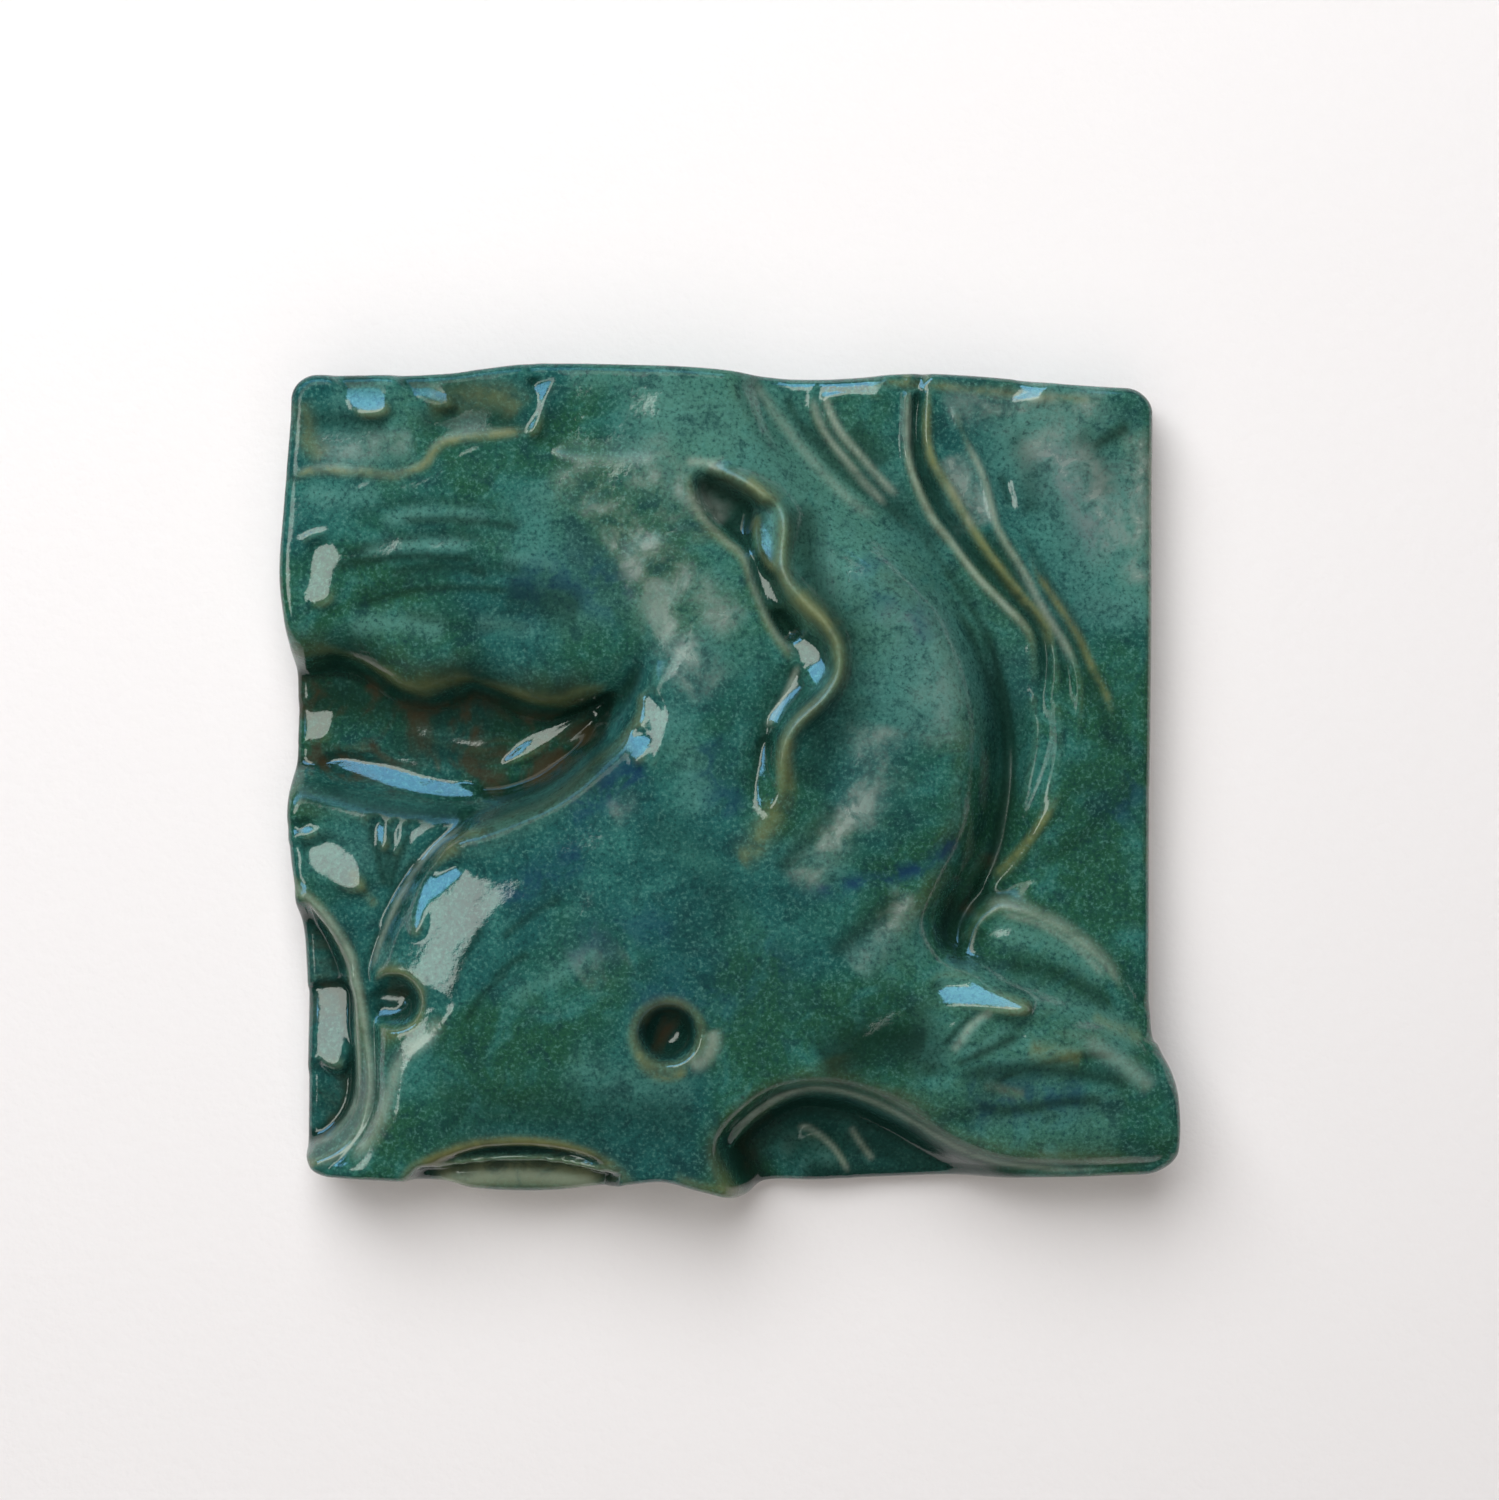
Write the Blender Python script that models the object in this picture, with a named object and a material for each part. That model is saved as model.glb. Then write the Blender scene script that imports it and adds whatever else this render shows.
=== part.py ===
"""A nearly square ceramic tile, hand-modelled in high relief and meant for a wall.

A big-headed fish is seen from above. Its head fills the lower left, with two deep eye pits and a
slit mouth at the bottom edge. A ruffled fin spreads to the left edge, a paddle fin to the lower
right corner, a wavy back fin runs down the middle, and the tail breaks into strands at the right.
The tile lies on its flat back: +Z is the relief, +Y the top edge, and the origin is the middle of
the back.
"""

import math

import bmesh
import bpy
import numpy as np

# Driving sizes, in metres
WIDTH = 0.100
LENGTH = 0.0935
SLAB = 0.0038
RELIEF = 0.0136
CORNER_RADIUS = 0.0030
RIM_ROUND = 0.0015
BACK_BEVEL = 0.0006
FOOT_INSET = 0.0004

# The carving is drawn on a sheet of 100 by 93.5, so each unit is a hundredth of the width. Places
# count from the middle of the tile, and heights from the back.
SHEET_WIDTH = 100.0
SHEET_LENGTH = 93.5
SHEET_LOW = 3.8
SHEET_HIGH = 17.4
SHEET_MARGIN = 5.0
SHEET_STEP = 0.4
GLAZE_FILL = 0.45
GROUND = 9.4

# How far the clay stands out past a straight edge: (place along the edge, distance), left edge and
# right edge from bottom to top, top and bottom edge from left to right
LEFT_EDGE = [(-47, -0.8), (-33, -0.9), (-21, -0.6), (-14, 0.1), (-5, 1.2), (4, 0.6), (14, 0.7),
             (18.5, 1.2), (24, 1.7), (32, 1.2), (41, 0.5), (47, 0.3)]
RIGHT_EDGE = [(-47, 1.9), (-43, 2.5), (-37, 2.4), (-34, 1.8), (-31, 0.4), (-28, -0.4), (-10, -0.4),
              (20, -0.1), (47, 0.0)]
TOP_EDGE = [(-50, 0.2), (-34, 0.3), (-28, 0.9), (-21, 1.6), (-9, 1.3), (-3, 1.0), (3, 0.4),
            (9, -0.1), (15, 0.0), (22, 0.5), (30, 0.3), (38, -0.4), (50, -1.2)]
BOTTOM_EDGE = [(-50, -0.5), (-40, -0.2), (-33, 0.2), (-29, 1.1), (-22, 1.4), (-15, 0.8), (-11, 0.1),
               (-7, -0.2), (-3, 0.9), (2, 2.0), (5, 0.8), (12, 0.7), (25, 0.2), (36, -0.3),
               (50, -0.9)]
EDGE_REACH = 12.0

GRID_ACROSS = 200
GRID_UP = 188
RIM_STEPS = 4
SIDE_STEPS = 4
MOST_TRIANGLES = 7600

TILE_NAME = "fish_relief_tile"
GLAZE_COLOUR = (0.022, 0.115, 0.090, 1.0)
GLAZE_ROUGHNESS = 0.15


def curve_through(points, closed=False, steps=8):
    """A smooth line through the points, with this many short runs between each two."""
    points = np.array(points, float)
    if closed:
        guide = np.vstack([points[-1], points, points[:2]])
    else:
        guide = np.vstack([2 * points[0] - points[1], points, 2 * points[-1] - points[-2]])
    share = np.arange(steps)[:, None] / steps
    spans = [
        0.5 * (2 * b + (c - a) * share + (2 * a - 5 * b + 4 * c - d) * share**2
               + (3 * b - a - 3 * c + d) * share**3)
        for a, b, c, d in zip(guide, guide[1:], guide[2:], guide[3:])
    ]
    return np.vstack(spans + [guide[-2][None]])


def ease(start, end, value):
    """0 up to the start, 1 from the end on, and a smooth change between them."""
    share = np.clip((value - start) / (end - start), 0, 1)
    return share * share * (3 - 2 * share)


def dome(depth, reach):
    """The rise of a rounded form, from 0 at its outline to 1 where it is this deep inside."""
    share = np.clip(depth / reach, 0, 1)
    return 1 - (1 - share) ** 2


def higher_of(a, b, blend):
    return (a + b + np.sqrt((a - b) ** 2 + blend**2)) / 2


def lower_of(a, b, blend):
    return -higher_of(-a, -b, blend)


class Clay:
    """A sheet of clay as heights on a raster, with the strokes that model it."""

    def __init__(self):
        half_width = SHEET_WIDTH / 2 + SHEET_MARGIN
        half_length = SHEET_LENGTH / 2 + SHEET_MARGIN
        self.across = np.arange(-half_width, half_width, SHEET_STEP)
        self.up = np.arange(-half_length, half_length, SHEET_STEP)
        self.x, self.y = np.meshgrid(self.across, self.up)
        self.z = np.full(self.x.shape, GROUND)

    def window(self, path, margin):
        low = path.min(0) - margin
        high = path.max(0) + margin
        columns = np.searchsorted(self.across, [low[0], high[0]])
        rows = np.searchsorted(self.up, [low[1], high[1]])
        return slice(*rows), slice(*columns)

    def nearest(self, path, where):
        """How far each place is from the path, and at which share of its length."""
        x = self.x[where]
        y = self.y[where]
        gap = np.full(x.shape, np.inf)
        share = np.zeros(x.shape)
        lengths = np.hypot(*np.diff(path, axis=0).T)
        run = np.concatenate([[0], np.cumsum(lengths)]) / lengths.sum()
        for a, b, begin, end in zip(path, path[1:], run, run[1:]):
            step = b - a
            along = ((x - a[0]) * step[0] + (y - a[1]) * step[1]) / max(step @ step, 1e-9)
            along = np.clip(along, 0, 1)
            here = (x - a[0] - along * step[0]) ** 2 + (y - a[1] - along * step[1]) ** 2
            near = here < gap
            gap[near] = here[near]
            share[near] = begin + along[near] * (end - begin)
        return np.sqrt(gap), share

    def depth_inside(self, outline, margin=3.5):
        """How deep each place lies inside a closed outline, negative outside it."""
        path = curve_through(outline, closed=True)
        where = self.window(path, margin)
        gap, _ = self.nearest(path, where)
        x = self.x[where]
        y = self.y[where]
        within = np.zeros(x.shape, bool)
        for a, b in zip(path, path[1:]):
            if a[1] != b[1]:
                crossing = a[0] + (y - a[1]) / (b[1] - a[1]) * (b[0] - a[0])
                within ^= ((a[1] > y) != (b[1] > y)) & (x < crossing)
        return where, np.where(within, gap, -gap)

    def bead(self, route, height, half_width, fade=(0.15, 0.25), onto=None):
        """A rounded ridge along a route, fading over these shares of its length."""
        path = curve_through(route)
        where = self.window(path, 3 * half_width)
        gap, share = self.nearest(path, where)
        ends = ease(0, fade[0], share) * ease(0, fade[1], 1 - share)
        target = self.z if onto is None else onto
        target[where] += height * np.exp(-((gap / half_width) ** 2)) * ends

    def crease(self, route, depth, half_width, fade=(0.15, 0.25), onto=None):
        self.bead(route, -depth, half_width, fade, onto)

    def swell(self, centre, half_width, half_length, height, turn=0.0, onto=None):
        """A soft mound, or with a negative height a soft dip."""
        cosine = math.cos(math.radians(turn))
        sine = math.sin(math.radians(turn))
        dx = self.x - centre[0]
        dy = self.y - centre[1]
        u = (dx * cosine + dy * sine) / half_width
        v = (dy * cosine - dx * sine) / half_length
        target = self.z if onto is None else onto
        target += height * np.exp(-u * u - v * v)

    def form(self, outline, edge, rounds, drop=2.5, blend=0.8, shape=None):
        """A raised form: the height at its outline, and (rise, reach) of the rounds that crown it."""
        where, depth = self.depth_inside(outline)
        inner = np.clip(depth, 0, None)
        made = np.full(self.z.shape, -1000.0)
        made[where] = edge - drop * np.clip(-depth, 0, None)
        made[where] += sum(rise * dome(inner, reach) for rise, reach in rounds)
        if shape:
            shape(made)
        self.z[where] = higher_of(self.z[where], made[where], blend)

    def sink(self, outline, floor, reach, wall=6.0, blend=0.9):
        """A hollow with a rounded bottom, its wall this high over this reach."""
        where, depth = self.depth_inside(outline)
        inner = np.clip(depth, 0, None)
        outer = np.clip(-depth, 0, None)
        bowl = floor + wall * (1 - dome(inner, reach)) + 2 * wall / reach * outer
        self.z[where] = lower_of(self.z[where], bowl, blend)

    def cut(self, outline, deep, reach):
        where, depth = self.depth_inside(outline)
        self.z[where] -= deep * ease(0, reach, depth)

    def eye(self, centre, radius, deep, lip, keep=1.0):
        """A round pit pressed in by a tool, with the clay it pushed up around it."""
        gap = np.hypot(self.x - centre[0], self.y - centre[1])
        self.z += keep * lip * np.exp(-((gap - radius - 0.9) ** 2))
        self.z -= keep * deep * np.sqrt(np.clip(1 - (gap / radius) ** 2, 0, 1))


def carve_strands(clay):
    """The ground at the right, with the tail's strands leaning on the body."""
    clay.swell((42, 32.5), 9, 13, -0.7, 15)
    clay.swell((47, 0), 7, 10, -0.6)
    sheet = [(2, 55.5), (27, 55.5), (32, 40.5), (39, 28), (45, 15), (47.5, 2), (45, -9.5),
             (33, -16), (26, -14), (30, 7), (26, 21), (17, 31.5), (7.5, 39.5)]
    clay.form(sheet, 8.9, [(2.2, 16.0)], drop=0.3, blend=0.5)

    contour = [(4.5, 51), (6.5, 46.5), (8.5, 41), (12, 37), (17, 33.5), (22.5, 28.5), (28, 22),
               (31.5, 14), (33, 4.5), (32.5, -5), (30, -12), (26.5, -17.5)]
    clay.crease(contour, 1.3, 1.5, (0.02, 0.05))
    clay.crease(contour[6:], 3.2, 2.6, (0.45, 0.12))

    strands = [
        ([(10.5, 51), (11.5, 47), (13, 40.5), (16.5, 36), (19.5, 33.5), (22.5, 31)], 0.7, 0.8),
        ([(19.5, 51), (20.5, 46), (21.5, 37.5), (24, 32.5), (26.5, 28.5), (30, 23.5), (33.5, 20),
          (35.5, 16), (35.5, 9)], 1.0, 1.0),
        ([(23.5, 51), (23.5, 46.5), (24, 39.5), (26, 34), (29.5, 28.5), (33.5, 22), (37, 16),
          (39.5, 10.5), (41, 3.5)], 0.9, 0.9),
        ([(28.5, 41.5), (31, 31.5), (34, 24.5), (38.5, 18), (41.5, 11.5), (42, 4.5), (40.5, -3.5)],
         0.8, 0.9),
        ([(35, 27), (38.5, 21), (42, 15), (44.5, 9), (46, 2)], 0.6, 0.8),
        ([(31, -13), (35.5, -8.5), (40.5, -2.5), (44, 3.5)], 0.6, 1.1),
        ([(33, -15), (41.5, -11), (48.5, -6.5)], 0.5, 1.3),
    ]
    for route, height, half_width in strands:
        clay.bead(route, height, half_width, (0.05, 0.3))
    grooves = [
        ([(22, 51), (22, 46.5), (22.5, 39.5), (25, 34.5), (28, 29.5), (32, 23.5), (35.5, 19),
          (37, 14), (36.5, 5.5)], 1.7, 0.95),
        ([(27.5, 41.5), (29, 32.5), (33, 25.5), (37, 19), (40, 13.5), (41, 7)], 0.7, 0.9),
        ([(32, 36), (33.5, 29), (37, 22), (40.5, 16), (43.5, 10), (44, 2)], 0.9, 0.9),
        ([(32, -13.5), (39, -9), (45, -4), (49.5, 3.5)], 0.8, 1.3),
    ]
    for route, depth, half_width in grooves:
        clay.crease(route, depth, half_width, (0.05, 0.25))


def carve_hollows(clay):
    """The sunk ground: top left, under the left fin, beside the head and under the paddle fin."""
    top_left = [(-56.5, 53.5), (-40, 54.5), (-28.5, 53.5), (-22.5, 50), (-20.5, 45), (-20, 41.5),
                (-22.5, 39.5), (-27.5, 40), (-33, 38.5), (-38.5, 36.5), (-46, 36), (-51, 34),
                (-56.5, 36)]
    clay.sink(top_left, 6.9, 9.0, wall=4.6)
    clay.bead([(-38.5, 50), (-36.5, 46), (-34, 44), (-29.5, 42.5), (-25.5, 42.5), (-21, 44)],
              1.3, 1.6, (0.1, 0.1))

    under_fin = [(-55, 18), (-43.5, 17.5), (-35.5, 14.5), (-21.5, 11), (-14.5, 12.5), (-10, 12),
                 (-11.5, 7), (-14.5, 2.5), (-19, -1.5), (-24.5, -3.5), (-30, -4), (-38, -3.5),
                 (-46, -1.5), (-55, 0)]
    clay.sink(under_fin, 4.2, 5.5)
    clay.swell((-24.5, 5), 6.0, 2.4, 1.3, 5)

    beside_head = [(-55, -11.5), (-49.5, -12.5), (-46, -14.5), (-43.5, -19.5), (-42, -24.5),
                   (-41.5, -31), (-42.5, -36.5), (-45, -41), (-47.5, -43), (-55, -43.5)]
    clay.sink(beside_head, 5.8, 4.0)

    under_paddle = [(1, -39), (4, -36.5), (8.5, -35.5), (14.5, -36), (20.5, -39), (26.5, -42.5),
                    (36.5, -44), (47, -44.5), (48, -52.5), (20.5, -52.5), (4.5, -52.5),
                    (1.5, -47), (0.5, -43)]
    clay.sink(under_paddle, 3.8, 5.0, blend=0.5)


def carve_small_fin(clay):
    """The folded small fin between the left hollow and the head."""
    def fold(made):
        clay.swell((-46.5, -7.5), 4.5, 6.0, 0.8, 30, onto=made)
        root = (-40, -18)
        for tip in ((-45, -4), (-41.5, -4), (-37, -5)):
            bend = (root[0] + (tip[0] - root[0]) * 0.4, root[1] + (tip[1] - root[1]) * 0.6)
            clay.crease([root, bend, tip], 0.9, 0.8, onto=made)
        clay.bead([(-39.5, -18), (-39.5, -11.5), (-39, -5.5)], 0.5, 0.6, onto=made)

    outline = [(-55, -1), (-46, 0), (-38, -2), (-32, -3), (-27, -2.5), (-31.5, -7.5), (-36.5, -13),
               (-39.5, -19.5), (-41, -23.5), (-43.5, -18), (-46.5, -14.5), (-49.5, -12.5),
               (-55, -10.5)]
    clay.form(outline, 7.4, [(2.8, 4.5)], shape=fold)
    clay.crease([(-40.5, -23), (-37.5, -14.5), (-33, -8.5), (-26, -3.5)], 1.0, 0.9, (0.1, 0.25))
    strand = [(-50.5, -11), (-46, -14.5), (-43, -19), (-42, -24.5), (-41.5, -31), (-42, -36.5),
              (-44, -41), (-47.5, -44.5), (-50, -45.5)]
    clay.bead(strand, 1.8, 1.2, (0.05, 0.02))


def carve_body(clay):
    """The body and the broad head, one rounded mass from the top edge to the bottom edge."""
    def muscle(made):
        clay.swell((-15.5, -24.5), 17, 14, 2.2, 10, onto=made)
        clay.swell((-10, 18.5), 8, 15, 1.0, -25, onto=made)
        clay.swell((21, 14), 8, 17, 0.9, 10, onto=made)
        clay.swell((7.5, 21), 10, 22, -1.0, 8, onto=made)
        clay.swell((-2, -8.5), 14, 8, -0.7, 20, onto=made)
        made -= 3.0 * ease(28, 47, clay.y)
        made -= 1.4 * ease(-36, -47, clay.y)
        clay.crease([(7.5, -13.5), (14.5, -11), (21.5, -8), (28, -2.5)], 0.35, 0.9, (0.3, 0.3), made)
        clay.crease([(16.5, 10.5), (13.5, 3), (10, -6), (7.5, -12.5)], 1.1, 2.8, (0.3, 0.3), made)
        clay.crease([(24.5, -20), (19, -27), (14.5, -34)], 1.0, 3.2, (0.2, 0.3), made)

    left_side = [(-24, 61.5), (-22, 51), (-20.5, 44), (-19, 38), (-15, 28), (-10, 16), (-11.5, 8),
                 (-15.5, 2.5), (-21.5, -1.5), (-28.5, -4), (-33.5, -8), (-37.5, -14), (-40.5, -21.5),
                 (-41, -30.5), (-41.5, -36.5), (-43.5, -42), (-49.5, -47), (-48, -53.5)]
    right_side = [(-3, -53.5), (5, -52), (2, -45), (1, -41), (3.5, -37), (8.5, -35.5), (15.5, -35),
                  (21.5, -30.5), (24.5, -22), (26.5, -16), (30, -8.5), (31.5, 2), (31, 11.5),
                  (28, 20), (21.5, 29), (14.5, 35.5), (8.5, 41), (4.5, 47.5), (1.5, 55.5),
                  (-0.5, 61.5)]
    clay.form(left_side + right_side, 9.4, [(4.6, 7.5), (2.2, 24.0)], shape=muscle)
    clay.bead([(-40.5, -21.5), (-37.5, -14), (-33, -8), (-28, -4)], 0.3, 0.7, (0.1, 0.2))
    clay.bead([(1.5, 51), (3, 48), (6, 42.5), (10.5, 38), (17, 32.5), (23.5, 26), (27.5, 18.5)],
              0.4, 0.9, (0.02, 0.3))


def carve_left_fin(clay):
    """The broad left fin: soft rays, a ruffled upper edge and a lobed lower edge."""
    def ray(made):
        rays = [
            ([(-12, 25.5), (-20, 32), (-32, 33.5), (-42.5, 32.5), (-51.5, 31.5)], 0.4),
            ([(-8.5, 21), (-19, 27), (-28.5, 28.5), (-40, 27.5), (-52.5, 25.5)], 0.4),
            ([(-10, 18), (-19, 22.5), (-28.5, 24), (-38, 22), (-50.5, 18)], 0.55),
            ([(-11, 15.5), (-21.5, 18.5), (-32, 18.5), (-42.5, 17.5)], 0.5),
        ]
        for route, depth in rays:
            clay.crease(route, depth, 1.6, (0.3, 0.2), made)
        clay.swell((-46, 24.5), 5, 9, 0.8, onto=made)
        clay.swell((-29.5, 25.5), 12, 8, 0.9, onto=made)

    ruffle = [(-51, 32.5), (-46.5, 35.5), (-39, 35.5), (-35, 36.5), (-31.5, 38.5), (-26, 40),
              (-21.5, 40.5), (-17.5, 39)]
    root = [(-10, 39.5), (-0.5, 32.5), (-0.5, 21), (-8.5, 14)]
    lobes = [(-13.5, 11), (-17.5, 9.5), (-21.5, 10), (-26, 12), (-29.5, 10.5), (-34, 11.5),
             (-38.5, 15), (-44, 16.5), (-50, 15), (-55, 16)]
    clay.form(ruffle + root + lobes + [(-56.5, 23), (-56.5, 29)], 9.6, [(2.6, 4.0), (1.2, 12.0)],
              blend=1.6, shape=ray)
    clay.bead(ruffle, 0.6, 0.9, (0.1, 0.4))


def carve_back_fin(clay):
    """The wavy back fin: a ridge that swings twice, and the trough on its left."""
    crest = [(-6, 37), (-1, 35.5), (3, 33.5), (6.5, 31), (8, 27.5), (7.5, 24), (8.5, 21), (12, 18),
             (14.5, 15), (15, 11.5), (13.5, 8.5), (10, 6.5), (8, 3.5), (7, 0), (6.5, -4), (4.5, -8)]
    foot = [(5, -5.5), (3, -4), (2.5, 1), (2.5, 6.5), (3, 10), (3, 14), (1, 18.5), (-1.5, 23),
            (-3.5, 28), (-5, 32.5)]
    clay.cut(crest[:-1] + foot, 3.2, 3.6)
    clay.bead(crest, 2.3, 1.25, (0.15, 0.2))
    clay.crease([(11, 29), (11.5, 24.5), (14, 21), (17, 16.5), (18.5, 11.5)], 0.9, 1.8, (0.3, 0.3))


def carve_right_fin(clay):
    """The right fin: a thin lobe above, and the thick paddle that reaches past the corner."""
    lobe = [(21, -24), (26, -18.5), (29, -16), (32, -14.5), (37, -15.5), (42.5, -19), (47, -24),
            (49.5, -29), (50.5, -35), (32, -35), (20.5, -30.5)]
    clay.form(lobe, 9.4, [(2.6, 4.5)])
    clay.crease([(27.5, -20.5), (35.5, -18.5), (43.5, -23)], 0.3, 1.2)

    def ray(made):
        rays = [
            ([(22, -33), (30, -30.5), (38, -28.5), (45.5, -28)], 0.7, 1.2),
            ([(25.5, -38), (33, -35.5), (41.5, -34), (53, -34.5)], 0.4, 1.5),
            ([(20.5, -35), (27.5, -39.5), (38, -39.5), (52.5, -38.5)], 0.7, 1.6),
            ([(26, -27), (32, -28), (39, -31), (49.5, -31.5)], 0.35, 1.4),
        ]
        for route, depth, half_width in rays:
            clay.crease(route, depth, half_width, (0.25, 0.15), made)
        clay.swell((29, -25.5), 7, 3.5, 0.9, -15, onto=made)
        clay.swell((41.5, -30.5), 8, 3.0, 0.5, -25, onto=made)
        made -= ease(25, 50, clay.x)

    paddle = [(17, -27), (24, -23), (30, -21), (36.5, -21.5), (42, -24), (46.5, -27), (51, -30.5),
              (57, -34), (57.5, -39.5), (57, -45.5), (50.5, -45.5), (42.5, -45), (34.5, -44.5),
              (27.5, -43), (22, -40), (17, -37.5), (12, -36), (7.5, -35), (10, -30.5)]
    clay.form(paddle, 9.8, [(3.6, 4.0), (1.6, 11.0)], blend=1.2, shape=ray)

    clay.swell((8.5, -45), 3.8, 3.2, 2.2, 20)
    clay.bead([(7.5, -42), (11.5, -42), (15, -46.5)], 0.7, 0.7)
    clay.bead([(14.5, -40.5), (18.5, -45.5)], 0.5, 0.6)


def carve_face(clay):
    """The mouth, a slit above a low lip at the bottom edge, and the two eye pits."""
    lip = [(-36, -46), (-29.5, -45), (-22.5, -44.5), (-15.5, -45), (-10.5, -46), (-7.5, -53.5),
           (-39, -53.5)]
    where, depth = clay.depth_inside(lip)
    step = 7.6 + 1.2 * dome(np.clip(depth, 0, None), 2.5)
    clay.z[where] = np.where(depth > 0, lower_of(clay.z[where], step, 0.4), clay.z[where])
    slit = [(-38, -46.5), (-33, -44), (-28, -42.5), (-22.5, -42), (-17, -42.5), (-12, -44),
            (-8, -46.5), (-14.5, -45.5), (-22.5, -44.5), (-31, -45.5)]
    clay.cut(slit, 4.5, 1.3)

    clay.eye((-7, -30), 3.4, 4.6, 0.6)
    behind_contour = ease(-41.8, -40.2, clay.x)
    clay.eye((-38, -26), 3.2, 3.4, 0.4, behind_contour)


def soften(heights):
    """Rounds every edge a little, as the thick glaze does."""
    spread = GLAZE_FILL / SHEET_STEP
    reach = math.ceil(3 * spread)
    weights = np.exp(-0.5 * (np.arange(-reach, reach + 1) / spread) ** 2)
    weights /= weights.sum()
    for axis in (0, 1):
        rows = np.swapaxes(heights, 0, axis)
        padded = np.pad(rows, ((reach, reach), (0, 0)), "edge")
        rows = sum(w * padded[i:i + len(rows)] for i, w in enumerate(weights))
        heights = np.swapaxes(rows, 0, axis)
    return heights


def carved_sheet():
    clay = Clay()
    carve_strands(clay)
    carve_hollows(clay)
    carve_small_fin(clay)
    carve_body(clay)
    carve_left_fin(clay)
    carve_back_fin(clay)
    carve_right_fin(clay)
    carve_face(clay)
    clay.z = soften(clay.z)
    return clay


def height_at(clay, x, y):
    """The carved height over a place on the tile, in metres, read smoothly from the raster."""
    column = (x / WIDTH * SHEET_WIDTH - clay.across[0]) / SHEET_STEP
    row = (y / LENGTH * SHEET_LENGTH - clay.up[0]) / SHEET_STEP
    i = min(max(int(column), 0), len(clay.across) - 2)
    j = min(max(int(row), 0), len(clay.up) - 2)
    u = column - i
    v = row - j
    lower = clay.z[j, i] * (1 - u) + clay.z[j, i + 1] * u
    upper = clay.z[j + 1, i] * (1 - u) + clay.z[j + 1, i + 1] * u
    drawn = lower * (1 - v) + upper * v
    return SLAB + RELIEF * (drawn - SHEET_LOW) / (SHEET_HIGH - SHEET_LOW)


def stand_out(edge):
    """A smooth curve of how far the clay stands out along an edge, to read values from."""
    places, distances = curve_through(edge).T
    return lambda place: float(np.interp(place, places, distances))


class Outline:
    """The tile seen from above: a rounded rectangle with hand-pressed, uneven edges."""

    def __init__(self):
        self.left, self.right, self.top, self.bottom = map(
            stand_out, (LEFT_EDGE, RIGHT_EDGE, TOP_EDGE, BOTTOM_EDGE))

    def place(self, across, up, inset, level):
        """Where a place of the unit square lies, this far inside the outline. The edges are
        uneven at level 1, the relief, and nearly straight at level 0, the back."""
        half_width = WIDTH / 2 - inset
        half_length = LENGTH / 2 - inset
        radius = max(CORNER_RADIUS - inset, CORNER_RADIUS / 8)
        x = abs(across) * half_width
        y = abs(up) * half_length
        s = (x - half_width + radius) / radius
        t = (y - half_length + radius) / radius
        if s > 0 and t > 0:
            x = half_width - radius + radius * s * math.sqrt(1 - t * t / 2)
            y = half_length - radius + radius * t * math.sqrt(1 - s * s / 2)
        x = math.copysign(x, across)
        y = math.copysign(y, up)

        drawn_x = x / WIDTH * SHEET_WIDTH
        drawn_y = y / LENGTH * SHEET_LENGTH
        sides = (
            (self.right if x > 0 else self.left, drawn_y, abs(drawn_x), SHEET_WIDTH / 2),
            (self.top if y > 0 else self.bottom, drawn_x, abs(drawn_y), SHEET_LENGTH / 2),
        )
        shifts = []
        for edge, along, outward, end in sides:
            straight = (edge(-end) + edge(end)) / 2
            uneven = straight + (edge(along) - straight) * level
            shifts.append(uneven * float(ease(end - EDGE_REACH, end, outward)))
        x += math.copysign(shifts[0] / SHEET_WIDTH * WIDTH, x)
        y += math.copysign(shifts[1] / SHEET_LENGTH * LENGTH, y)
        return x, y


def glaze_material():
    material = bpy.data.materials.new("teal_glaze")
    material.use_nodes = True
    shader = material.node_tree.nodes["Principled BSDF"]
    shader.inputs["Base Color"].default_value = GLAZE_COLOUR
    shader.inputs["Roughness"].default_value = GLAZE_ROUGHNESS
    shader.inputs["Metallic"].default_value = 0.0
    material.diffuse_color = GLAZE_COLOUR
    return material


def extrude_ring(bm, edges):
    """Extrudes the open boundary and returns its new edges and vertices."""
    made = bmesh.ops.extrude_edge_only(bm, edges=edges)["geom"]
    verts = [v for v in made if isinstance(v, bmesh.types.BMVert)]
    fresh = set(verts)
    ring = [e for e in made if isinstance(e, bmesh.types.BMEdge) and fresh.issuperset(e.verts)]
    return ring, verts


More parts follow.
